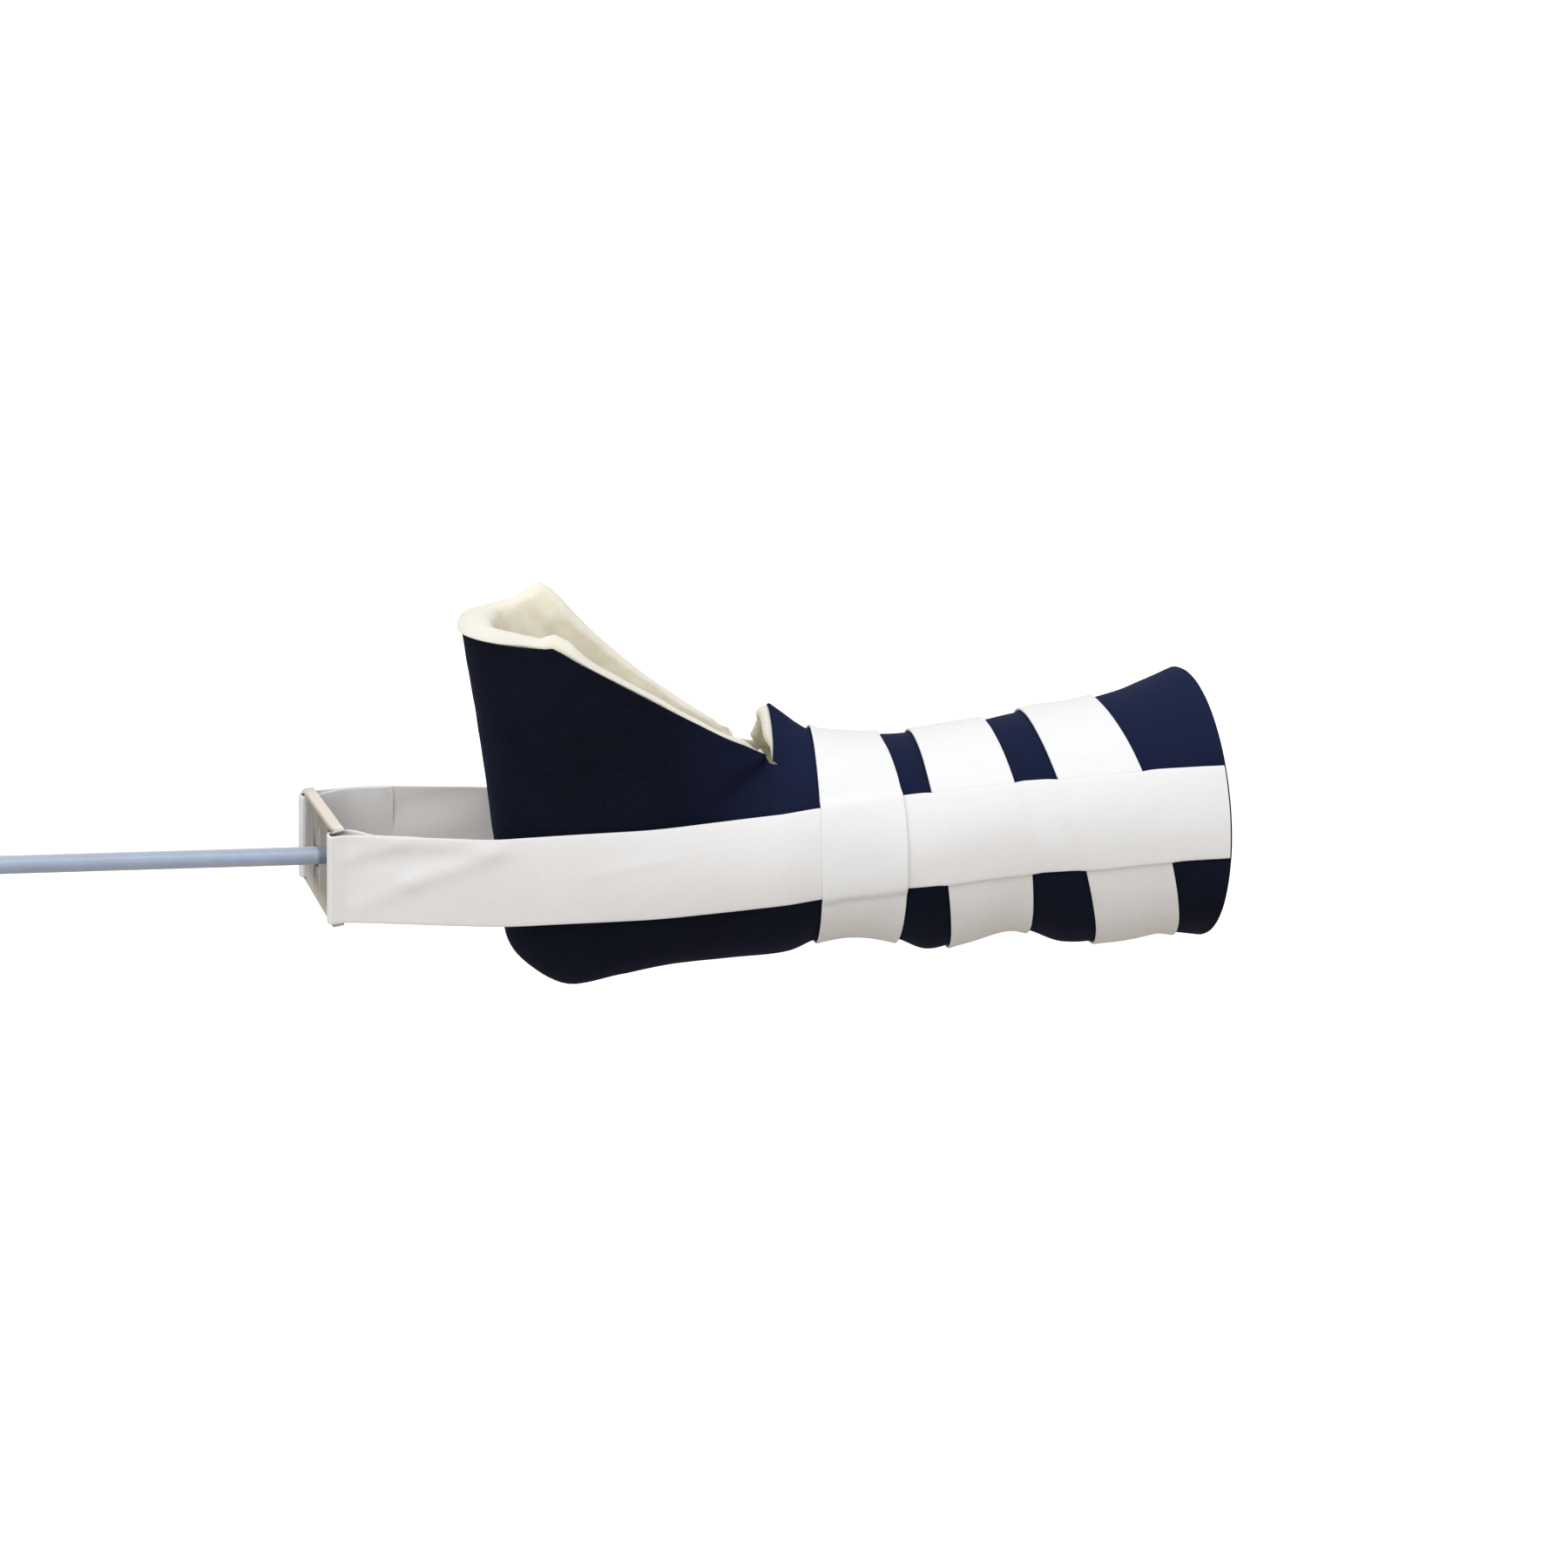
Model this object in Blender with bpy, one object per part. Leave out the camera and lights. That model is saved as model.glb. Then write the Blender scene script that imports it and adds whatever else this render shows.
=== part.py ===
"""A below-knee traction boot, worn on a lying leg with the toes up.

X runs up the leg, Z towards the toes, and the side that is seen has a negative Y.
The origin is on the leg's axis at the ankle. A dark padded wrap with a thick pale
lining goes round the calf, the heel and the sole. Three straps close it, one strap
down each side holds a metal spreader plate, and a taut cord pulls on the plate.
"""

import math

import bmesh
import bpy
import numpy as np
from mathutils import Vector
from mathutils.bvhtree import BVHTree

# The leg wrap, in metres
CUFF_X = 0.347
COLLAR_X = 0.090
ANKLE_RADIUS = 0.0645
CUFF_RADIUS = 0.083
COLLAR_LIFT = 0.0185
COLLAR_PEAK = 0.43
COLLAR_SPREAD = 0.5

# The heel and the foot
NOTCH_DROP = 0.0025
NOTCH_Z = ANKLE_RADIUS - NOTCH_DROP
NOTCH_DEG = 30.0
NOTCH_FORWARD = 0.012
FAR_NOTCH_DROP = 0.008
HEEL_REACH = 0.200
FOOT_HALF_WIDTH = 0.051
FOOT_RISE = 0.0645
TOE_TIP_DEG = 7.2
TOE_TILT = 0.05
SHOULDER_X = -0.030
SHOULDER_Z = 0.1423
FAR_SHOULDER_X = -0.036
FAR_SHOULDER_Z = 0.1405
FAR_RIM_BOW = 0.002
FAR_TOE_LIFT = 0.012

# Walls and clearances
SHELL_WALL = 0.002
LINING_WALL = 0.009
LINING_PROUD = 0.0008
CLEARANCE = 0.0005

# Straps
STRAP_WIDTH = 0.050
STRAP_WALL = 0.002
STIRRUP_WIDTH = 0.053
STIRRUP_WALL = 0.0016
STIRRUP_END_X = 0.341
STIRRUP_TAIL = 0.030
STIRRUP_LEVEL_X = -0.080
FOLD_STAND = 0.0004
TAIL_REACH = 0.003

# The spreader plate
PLATE_X = -0.1845
PLATE_Z = 0.0172
PLATE_WIDTH = 0.102
PLATE_TURN_DEG = 20.0
PLATE_LEAN = 0.15
PLATE_WALL = 0.002
LIP_DEPTH = 0.006
POST_WIDTH = 0.007
SLOT_WIDTH = 0.005
CORD_HOLE = 0.0125

# The cord
CORD_DIAMETER = 0.011
KNOT_DIAMETER = 0.024
KNOT_NECK = 0.0108
KNOT_LENGTH = 0.016
EYE_WIDTH = 0.040
EYE_LENGTH = 0.052
EYE_OVERLAP = 0.0045
WHIPPING_LENGTH = 0.022
CORD_ROUTE = (
    (-0.1780, 0.0000, 0.0168),
    (-0.2100, 0.0000, 0.0190),
    (-0.2500, 0.0000, 0.0218),
    (-0.3000, 0.0000, 0.0253),
    (-0.3500, 0.0000, 0.0288),
    (-0.3870, 0.0000, 0.0314),
)

# Rings of the leg wrap from the collar to the cuff. along is the share of the way, and
# side, top and under are shares of the growth from the ankle's radius to the cuff's.
# lean tips the ring's top to the foot, as the straps lie.
LEG_ROWS = (
    # along, side, top, under, lean in degrees
    (0.000, 0.10, 0.00, 0.30, 0.0),
    (0.085, 0.00, -0.05, -0.05, -3.4),
    (0.280, 0.00, -0.35, 0.24, -2.5),
    (0.335, 0.10, -0.40, 0.70, 1.0),
    (0.390, 0.10, -0.38, 0.56, 5.4),
    (0.560, 0.12, -0.20, 0.36, 5.0),
    (0.620, 0.25, -0.12, 0.90, 9.0),
    (0.700, 0.45, -0.02, 0.98, 13.5),
    (0.840, 0.62, 0.15, 0.80, 11.6),
    (0.910, 0.80, 0.45, 0.90, 5.0),
    (1.000, 1.00, 1.00, 1.08, 0.0),
)

# Sections round the heel. turn is the section's angle from the leg's to the foot's,
# reach and width are shares of HEEL_REACH and of the way from the ankle's radius
# to the foot's half width, and square is the exponent that squares the corners.
HEEL_ROWS = (
    # turn in degrees, reach, narrowing, square
    (14.0, 0.683, 0.08, 2.0),
    (27.0, 0.742, 0.28, 2.1),
    (38.0, 0.859, 0.52, 2.2),
    (46.0, 0.983, 0.74, 2.3),
    (51.5, 1.005, 0.86, 2.4),
    (57.0, 1.003, 0.93, 2.5),
    (64.0, 0.945, 0.98, 2.7),
    (75.0, 0.872, 1.00, 2.9),
)

# Sections up the foot. rise is the share of FOOT_RISE, and reach is a share of HEEL_REACH.
FOOT_ROWS = (
    # rise, reach, square
    (0.00, 0.842, 3.0),
    (0.18, 0.845, 3.0),
    (0.38, 0.849, 3.0),
    (0.58, 0.854, 3.0),
    (0.79, 0.860, 3.0),
    (1.00, 0.866, 3.0),
)

# Leg straps: place is the share of the way from the collar to the cuff
STRAP_ROWS = (
    # name, place, lean in degrees
    ("ankle_strap", 0.182, -3.4),
    ("lower_calf_strap", 0.459, 5.4),
    ("upper_calf_strap", 0.766, 13.0),
)

# Height of the side straps' middle: where is a share of the way from the plate to the cuff
STIRRUP_ROWS = (
    # where, height over the plate's middle as a share of STIRRUP_WIDTH
    (0.038, 0.000),
    (0.208, -0.230),
    (0.380, -0.230),
    (0.557, -0.160),
    (0.780, -0.075),
    (1.000, -0.005),
)

# The whipped neck of the pull eye
WHIPPING_ROWS = (
    # along as a share of WHIPPING_LENGTH, radius as a share of CORD_DIAMETER
    (0.00, 0.56),
    (0.15, 0.72),
    (0.85, 0.80),
    (1.00, 0.62),
)

# How finely the surfaces are divided
RING_POINTS = 36
NEAR_NOTCH_INDEX = 3
FAR_NOTCH_INDEX = 32
ARC_SAMPLES = 240
STRAP_STEPS = 2
STIRRUP_PITCH = 0.0135
STIRRUP_STEPS = 4
FINE_STEPS = 4
LOOP_POINTS = 7
HOLE_SIDES = 24
TURNED_SIDES = 14
KNOT_ROWS = 7
EYE_POINTS = 20
EYE_SIDES = 8
CORD_BEVEL_STEPS = 2
CORD_PITCH = 0.0275

# How far out the rays that find what is under a strap start
RAY_START = 0.30


def remove_all_objects():
    """Empty the scene."""
    for old in list(bpy.data.objects):
        bpy.data.objects.remove(old, do_unlink=True)


def material(name, colour, roughness, metallic=0.0):
    """A Principled material."""
    made = bpy.data.materials.new(name)
    made.use_nodes = True
    shader = made.node_tree.nodes["Principled BSDF"]
    shader.inputs["Base Color"].default_value = (*colour, 1.0)
    shader.inputs["Roughness"].default_value = roughness
    shader.inputs["Metallic"].default_value = metallic
    return made


def object_from(name, verts, faces, finish):
    """A mesh object with its faces turned outwards."""
    mesh = bpy.data.meshes.new(name)
    mesh.from_pydata([tuple(v) for v in verts], [], faces)
    work = bmesh.new()
    work.from_mesh(mesh)
    bmesh.ops.recalc_face_normals(work, faces=work.faces)
    work.to_mesh(mesh)
    work.free()
    mesh.shade_smooth()
    mesh.set_sharp_from_angle(angle=math.radians(40.0))
    mesh.materials.append(finish)
    made = bpy.data.objects.new(name, mesh)
    bpy.context.scene.collection.objects.link(made)
    return made


def signed_power(value, power):
    """The power of a number that keeps its sign."""
    return np.sign(value) * np.abs(value) ** power


def leg_ring(along, side, top, under, lean):
    """One closed ring of the leg wrap, from the front round the near side and back."""
    angle = np.radians(np.arange(RING_POINTS) * 360.0 / RING_POINTS - 180.0)
    growth = CUFF_RADIUS - ANKLE_RADIUS
    upright = ANKLE_RADIUS + np.where(np.cos(angle) > 0.0, under, top) * growth
    y = (ANKLE_RADIUS + side * growth) * np.sin(angle)
    z = -upright * np.cos(angle)
    x = COLLAR_X + along * (CUFF_X - COLLAR_X) - z * math.tan(math.radians(lean))
    return np.stack([x, y, z], axis=1)


def collar_ring():
    """The ring at the ankle: its front stands up in a peak and its far side reaches forward."""
    ring = leg_ring(*LEG_ROWS[0])
    order = np.arange(RING_POINTS)
    front = (order < NEAR_NOTCH_INDEX) | (order > FAR_NOTCH_INDEX)
    past = NEAR_NOTCH_INDEX - order
    over = np.where(order <= NEAR_NOTCH_INDEX, past, past + RING_POINTS)
    across = over / (NEAR_NOTCH_INDEX + RING_POINTS - FAR_NOTCH_INDEX)
    peak = np.clip(1.0 - np.abs(across - COLLAR_PEAK) / COLLAR_SPREAD, 0.0, 1.0)
    ring[front, 0] -= NOTCH_FORWARD * across[front]
    ring[front, 2] += COLLAR_LIFT * peak[front]
    return ring


def open_section(origin_z, turn, reach, half_width, square, near_end, far_end):
    """One open section: a squared oval from the near edge round the back to the far edge."""
    front = ANKLE_RADIUS - NOTCH_Z
    middle = (reach - front) / 2.0
    half_length = (reach + front) / 2.0
    ends = []
    for end in (near_end, far_end):
        share = (middle - end) / half_length
        ends.append(math.acos(-float(signed_power(share, square / 2.0))))
    angle = np.linspace(-ends[0], ends[1], ARC_SAMPLES)
    y = half_width * signed_power(np.sin(angle), 2.0 / square)
    away = middle + half_length * signed_power(np.cos(angle), 2.0 / square)
    step = np.hypot(np.diff(y), np.diff(away))
    run = np.concatenate([[0.0], np.cumsum(step)])
    even = np.linspace(0.0, run[-1], FAR_NOTCH_INDEX - NEAR_NOTCH_INDEX + 1)
    y = np.interp(even, run, y)
    away = np.interp(even, run, away)
    x = COLLAR_X - away * math.sin(turn)
    z = origin_z - away * math.cos(turn)
    return np.stack([x, y, z], axis=1), away


def forward_share(away, end, reach):
    """How far a point follows the far notch forward: 1 at the far edge, 0 at the back."""
    side = np.linspace(0.0, 1.0, away.size)
    near_back = np.clip(1.0 - (away - end) / (reach - end), 0.0, 1.0)
    return side ** 2 * near_back ** 2


def rim_distance(rise, tip, shoulder_x, shoulder_z, notch_x, notch_z):
    """Where a foot section meets the straight slanted rim from the notch to the shoulder."""
    slope = (shoulder_z - notch_z) / (notch_x - shoulder_x)
    start = NOTCH_Z + rise - notch_z + slope * (COLLAR_X - notch_x)
    return start / (slope - math.tan(tip)) / math.cos(tip)


def boot_rows():
    """Rings of the leg, then open sections round the heel and up the foot."""
    rings = [leg_ring(*row) for row in LEG_ROWS[:0:-1]]
    collar = collar_ring()
    notch = NOTCH_Z - ANKLE_RADIUS * math.cos(math.radians(NOTCH_DEG))
    open_rows = []
    for turn, reach, narrowing, square in HEEL_ROWS:
        width = ANKLE_RADIUS + narrowing * (FOOT_HALF_WIDTH - ANKLE_RADIUS)
        section, away = open_section(
            NOTCH_Z, math.radians(turn), reach * HEEL_REACH, width, square, notch, notch
        )
        section[:, 0] -= NOTCH_FORWARD * forward_share(away, notch, reach * HEEL_REACH)
        open_rows.append(section)
    for rise_share, reach, square in FOOT_ROWS:
        open_rows.append(foot_section(rise_share, reach * HEEL_REACH, square))
    return rings, collar, open_rows


def foot_section(rise_share, reach, square):
    """One section of the foot's trough, cut off at the near and the far rim."""
    rise = rise_share * FOOT_RISE
    tip = math.radians(TOE_TIP_DEG) * rise_share
    notch_x = COLLAR_X - ANKLE_RADIUS + NOTCH_Z
    near = rim_distance(rise, tip, SHOULDER_X, SHOULDER_Z, notch_x, NOTCH_Z)
    far = rim_distance(
        rise, tip, FAR_SHOULDER_X, FAR_SHOULDER_Z, notch_x - NOTCH_FORWARD, NOTCH_Z - FAR_NOTCH_DROP
    )
    far += FAR_RIM_BOW * 4.0 * rise_share * (1.0 - rise_share)
    section, away = open_section(
        NOTCH_Z + rise, math.pi / 2.0 + tip, reach, FOOT_HALF_WIDTH, square, near, far
    )
    section[:, 2] += FAR_TOE_LIFT * rise_share ** 4 * forward_share(away, far, reach)
    section[:, 2] += TOE_TILT * rise_share ** 2 * section[:, 1]
    return section


def boot_surface():
    """The wrap's outer surface as a mesh of triangles: points, faces."""
    rings, collar, open_rows = boot_rows()
    points = np.concatenate(rings + [collar] + open_rows)
    faces = []
    for row in range(len(rings)):
        start = row * RING_POINTS
        for place in range(RING_POINTS):
            after = (place + 1) % RING_POINTS
            below = start + RING_POINTS
            faces.append((start + place, below + place, below + after))
            faces.append((start + place, below + after, start + after))
    width = FAR_NOTCH_INDEX - NEAR_NOTCH_INDEX + 1
    upper = len(rings) * RING_POINTS + NEAR_NOTCH_INDEX
    lower = (len(rings) + 1) * RING_POINTS
    for row in range(len(open_rows)):
        for place in range(width - 1):
            faces.append((upper + place, lower + place, lower + place + 1))
            faces.append((upper + place, lower + place + 1, upper + place + 1))
        upper = lower
        lower += width
    return points, faces


def wall_between(name, points, faces, outer, inner, proud, finish):
    """A closed wall between two depths under a surface, its free edges moved out by proud."""
    work = bmesh.new()
    verts = [work.verts.new(tuple(p)) for p in points]
    for face in faces:
        work.faces.new([verts[i] for i in face])
    work.normal_update()
    work.verts.index_update()
    normals = np.array([tuple(v.normal) for v in work.verts])
    beyond = np.zeros(points.shape)
    rim = []
    for edge in [e for e in work.edges if len(e.link_faces) == 1]:
        first, second = (v.index for v in edge.verts)
        rim.append((first, second))
        away = (edge.verts[1].co - edge.verts[0].co).cross(edge.link_faces[0].normal)
        centre = edge.link_faces[0].calc_center_median()
        if away.dot(edge.verts[0].co - centre) < 0.0:
            away.negate()
        if min(edge.verts[0].co.x, edge.verts[1].co.x) < COLLAR_X + COLLAR_LIFT:
            beyond[first] += tuple(away.normalized())
            beyond[second] += tuple(away.normalized())
    work.free()
    beyond -= normals * np.sum(beyond * normals, axis=1, keepdims=True)
    beyond /= np.maximum(np.linalg.norm(beyond, axis=1, keepdims=True), 1e-9)
    points = points + proud * beyond
    count = len(points)
    all_points = np.concatenate([points - outer * normals, points - inner * normals])
    all_faces = list(faces) + [tuple(count + i for i in reversed(face)) for face in faces]
    all_faces += [(a, b, b + count, a + count) for a, b in rim]
    return object_from(name, all_points, all_faces, finish)


def tree_of(*objects):
    """A search tree of the objects' triangles."""
    verts = []
    faces = []
    for item in objects:
        start = len(verts)
        verts += [v.co.copy() for v in item.data.vertices]
        faces += [tuple(start + i for i in p.vertices) for p in item.data.polygons]
    return BVHTree.FromPolygons(verts, faces)


def outermost(tree, base, direction):
    """How far out from base, along direction, the tree's outer surface lies; 0 where it is missed."""
    hit = tree.ray_cast(base + direction * RAY_START, -direction, RAY_START)
    return RAY_START - hit[3] if hit[0] is not None else 0.0


def spread(values, steps, axis, wraps):
    """The largest value within steps samples either way along one axis."""
    best = values.copy()
    for step in range(1, steps + 1):
        for way in (-step, step):
            moved = np.roll(values, way, axis=axis)
            if not wraps:
                edge = np.arange(values.shape[axis]) - way
                keep = np.clip(edge, 0, values.shape[axis] - 1)
                moved = np.take(values, keep, axis=axis)
            best = np.maximum(best, moved)
    return best


def grid_faces(rows, columns, wraps):
    """Quads of a grid of points stored row by row; wraps closes each column's run."""
    faces = []
    for row in range(rows if wraps else rows - 1):
        after = (row + 1) % rows
        for column in range(columns - 1):
            start = row * columns + column
            below = after * columns + column
            faces.append((start, start + 1, below + 1, below))
    return faces


def band(name, inner, outer, wraps, finish):
    """A closed band from two grids of points, inner and outer, each (rows, columns, 3)."""
    rows, columns = inner.shape[:2]
    count = rows * columns
    faces = grid_faces(rows, columns, wraps)
    all_faces = list(faces) + [tuple(count + i for i in reversed(face)) for face in faces]
    for row in range(rows if wraps else rows - 1):
        after = (row + 1) % rows
        for column in (0, columns - 1):
            a = row * columns + column
            b = after * columns + column
            all_faces.append((a, b, b + count, a + count))
    if not wraps:
        for row in (0, rows - 1):
            for column in range(columns - 1):
                a = row * columns + column
                all_faces.append((a, a + 1, a + 1 + count, a + count))
    points = np.concatenate([inner.reshape(-1, 3), outer.reshape(-1, 3)])
    return object_from(name, points, all_faces, finish)


def leg_strap(name, place, lean_deg, under, finish):
    """A band round the leg that lies on the outermost of what is under it."""
    tree = tree_of(*under)
    lean = math.tan(math.radians(lean_deg))
    fine_rows = RING_POINTS * FINE_STEPS
    fine_columns = STRAP_STEPS * FINE_STEPS + 1
    angle = np.radians(np.arange(fine_rows) * 360.0 / fine_rows - 180.0)
    across = np.linspace(-STRAP_WIDTH / 2.0, STRAP_WIDTH / 2.0, fine_columns)
    middle = COLLAR_X + place * (CUFF_X - COLLAR_X)
    direction = np.stack([lean * np.cos(angle), np.sin(angle), -np.cos(angle)], axis=1)
    out = np.zeros((fine_rows, fine_columns))
    for row in range(fine_rows):
        way = Vector(direction[row])
        size = way.length
        for column in range(fine_columns):
            base = Vector((middle + across[column], 0.0, 0.0))
            out[row, column] = outermost(tree, base, way / size) / size
    out = spread(spread(out, FINE_STEPS, 0, True), FINE_STEPS // 2, 1, False)
    out = out[::FINE_STEPS, ::FINE_STEPS] + CLEARANCE
    direction = direction[::FINE_STEPS]
    base = np.zeros((RING_POINTS, STRAP_STEPS + 1, 3))
    base[:, :, 0] = middle + across[::FINE_STEPS]
    inner = base + out[:, :, None] * direction[:, None, :]
    outer = base + (out + STRAP_WALL)[:, :, None] * direction[:, None, :]
    return band(name, inner, outer, True, finish)


def plate_point(across, out, height):
    """A point given in the plate's own frame: across to the far side, out to the cord, and up."""
    turn = math.radians(PLATE_TURN_DEG)
    x = PLATE_X - across * math.sin(turn) - out * math.cos(turn) + height * PLATE_LEAN
    y = across * math.cos(turn) - out * math.sin(turn)
    return np.array([x, y, PLATE_Z + height])


def stirrup_height(x):
    """Height of a side strap's middle at x."""
    table = np.array(STIRRUP_ROWS)
    share = (x - PLATE_X) / (CUFF_X - PLATE_X)
    return np.interp(share, table[:, 0], table[:, 1] * STIRRUP_WIDTH + PLATE_Z)


def loop_path(side):
    """The side strap's path round the plate's end post and back, as points of its middle."""
    half = PLATE_WIDTH / 2.0
    room = CLEARANCE + STIRRUP_WALL / 2.0
    wall = PLATE_WALL / 2.0
    reach = POST_WIDTH / 2.0 + room
    middle = half - POST_WIDTH / 2.0
    turn = np.radians(np.linspace(0.0, 180.0, LOOP_POINTS))
    across = middle + reach * np.cos(turn)
    out = wall + FOLD_STAND + room * np.sin(turn)
    points = [plate_point(side * half + side * room, -LIP_DEPTH, 0.0)]
    points += [plate_point(side * across[i], out[i], 0.0) for i in range(turn.size)]
    points += [plate_point(side * (middle - reach), -LIP_DEPTH, 0.0)]
    return np.array(points)


def side_strap(name, side, under, finish):
    """One side strap, from the cuff along the boot's side, round the plate's post and back."""
    tree = tree_of(*under)
    loop = loop_path(side)
    columns = int(math.ceil((STIRRUP_END_X - loop[0, 0]) / STIRRUP_PITCH))
    x = np.linspace(STIRRUP_END_X, loop[0, 0], columns * FINE_STEPS + 1)
    across = np.linspace(0.5, -0.5, STIRRUP_STEPS * FINE_STEPS + 1) * STIRRUP_WIDTH
    out = np.zeros((x.size, across.size))
    way = Vector((0.0, side, 0.0))
    for column in range(x.size):
        middle = stirrup_height(x[column])
        for row in range(across.size):
            base = Vector((x[column], 0.0, middle + across[row]))
            out[column, row] = outermost(tree, base, way)
    out = spread(spread(out, FINE_STEPS, 0, False), 1, 1, False)
    out = out[::FINE_STEPS, ::FINE_STEPS] + CLEARANCE + STIRRUP_WALL / 2.0
    out[-1] = abs(loop[0, 1])
    x = x[::FINE_STEPS]
    across = across[::FINE_STEPS]
    foot = x < COLLAR_X + STIRRUP_PITCH
    for row in range(across.size):
        out[foot, row] = taut(x[foot], out[foot, row])
    fade = np.clip((STIRRUP_LEVEL_X - x) / (STIRRUP_LEVEL_X - x[-1]), 0.0, 1.0)
    lean = PLATE_LEAN * fade[:, None] * across[None, :]
    body = np.stack([x[:, None] + lean, side * out, stirrup_height(x)[:, None] + across], axis=2)
    rise = np.stack([PLATE_LEAN * across, 0.0 * across, across], axis=1)
    fold = loop[1:, None, :] + rise[None]
    tail_end = fold[-1] + np.array([STIRRUP_TAIL, side * TAIL_REACH, 0.0])
    middle_line = np.concatenate([body, fold, tail_end[None]])
    normals = sheet_normals(middle_line)
    half = STIRRUP_WALL / 2.0
    return band(name, middle_line - half * normals, middle_line + half * normals, False, finish)


def taut(x, values):
    """The tightest line over the values: their upper hull, as a strap under tension lies."""
    hull = []
    for place in range(x.size):
        while len(hull) > 1 and lies_under(x, values, hull[-2], hull[-1], place):
            hull.pop()
        hull.append(place)
    return np.interp(-x, -x[hull], values[hull])


def lies_under(x, values, first, middle, last):
    """True where the middle value is on or below the line from the first to the last."""
    share = (x[middle] - x[first]) / (x[last] - x[first])
    return values[middle] <= values[first] + share * (values[last] - values[first])


def sheet_normals(grid):
    """Unit normals of a grid of points, level in height."""
    along = np.gradient(grid, axis=0)
    normals = np.stack([-along[:, :, 1], along[:, :, 0], 0 * along[:, :, 0]], axis=2)
    return normals / np.linalg.norm(normals, axis=2, keepdims=True)


def add_box(name, low, high, finish):
    """A box between two corners in the plate's own frame."""
    corners = []
    for across in (low[0], high[0]):
        for out in (low[1], high[1]):
            for height in (low[2], high[2]):
                corners.append(plate_point(across, out, height))
    faces = [(0, 1, 3, 2), (4, 6, 7, 5), (0, 4, 5, 1), (2, 3, 7, 6), (0, 2, 6, 4), (1, 5, 7, 3)]
    return object_from(name, corners, faces, finish)


def cut(target, cutter, operation="DIFFERENCE"):
    """Add a boolean with the exact solver, and hide its cutter."""
    step = target.modifiers.new(cutter.name, "BOOLEAN")
    step.operation = operation
    step.solver = "EXACT"
    step.object = cutter
    cutter.hide_render = True
    cutter.display_type = "WIRE"


def spreader_plate(finish):
    """A pressed plate with a lip at its top and foot, a slot at each end and a hole for the cord."""
    half = PLATE_WIDTH / 2.0
    high = STIRRUP_WIDTH / 2.0 + CLEARANCE + PLATE_WALL
    wall = PLATE_WALL / 2.0
    profile = (
        (wall, -high), (wall, high), (-LIP_DEPTH, high), (-LIP_DEPTH, high - PLATE_WALL),
        (-wall, high - PLATE_WALL), (-wall, PLATE_WALL - high), (-LIP_DEPTH, PLATE_WALL - high),
        (-LIP_DEPTH, -high),
    )
    count = len(profile)
    points = [plate_point(-half, out, height) for out, height in profile]
    points += [plate_point(half, out, height) for out, height in profile]
    faces = [tuple(range(count)), tuple(range(2 * count - 1, count - 1, -1))]
    faces += [(i, (i + 1) % count, (i + 1) % count + count, i + count) for i in range(count)]
    plate = object_from("spreader_plate", points, faces, finish)
    slot_high = high - PLATE_WALL
    for name, side in (("near", -1.0), ("far", 1.0)):
        near = side * (half - POST_WIDTH)
        far = side * (half - POST_WIDTH - SLOT_WIDTH)
        low = (min(near, far), -2.0 * wall, -slot_high)
        top = (max(near, far), 2.0 * wall, slot_high)
        cut(plate, add_box(f"slot_cutter_{name}", low, top, finish))
    bpy.ops.mesh.primitive_cylinder_add(
        vertices=HOLE_SIDES,
        radius=CORD_HOLE / 2.0,
        depth=PLATE_WALL * 4.0,
        location=tuple(plate_point(0.0, 0.0, 0.0)),
        rotation=(0.0, math.pi / 2.0, math.radians(PLATE_TURN_DEG)),
    )
    drill = bpy.context.object
    drill.name = "cord_hole_cutter"
    cut(plate, drill)
    return plate


def smooth_route(route, spacing):
    """Points at an even spacing on a smooth curve through the route."""
    route = np.array(route)
    length = np.concatenate([[0.0], np.cumsum(np.linalg.norm(np.diff(route, axis=0), axis=1))])
    slopes = np.gradient(route, length, axis=0)
    count = int(round(length[-1] / spacing)) + 1
    at = np.linspace(0.0, length[-1], count)
    place = np.clip(np.searchsorted(length, at, side="right") - 1, 0, len(route) - 2)
    span = (length[place + 1] - length[place])[:, None]
    t = ((at - length[place]) / span[:, 0])[:, None]
    start = (2 * t ** 3 - 3 * t ** 2 + 1) * route[place] + (t ** 3 - 2 * t ** 2 + t) * span * slopes[place]
    end = (3 * t ** 2 - 2 * t ** 3) * route[place + 1] + (t ** 3 - t ** 2) * span * slopes[place + 1]
    return start + end


def tube(name, points, diameter, finish):
    """A round tube along points, as a poly curve with filled ends."""
    curve = bpy.data.curves.new(name, "CURVE")
    curve.dimensions = "3D"
    curve.bevel_depth = diameter / 2.0
    curve.bevel_resolution = CORD_BEVEL_STEPS
    curve.use_fill_caps = True
    line = curve.splines.new("POLY")
    line.points.add(len(points) - 1)
    for place, point in zip(line.points, points):
        place.co = (*point, 1.0)
    curve.materials.append(finish)
    made = bpy.data.objects.new(name, curve)
    bpy.context.scene.collection.objects.link(made)
    return made


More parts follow.
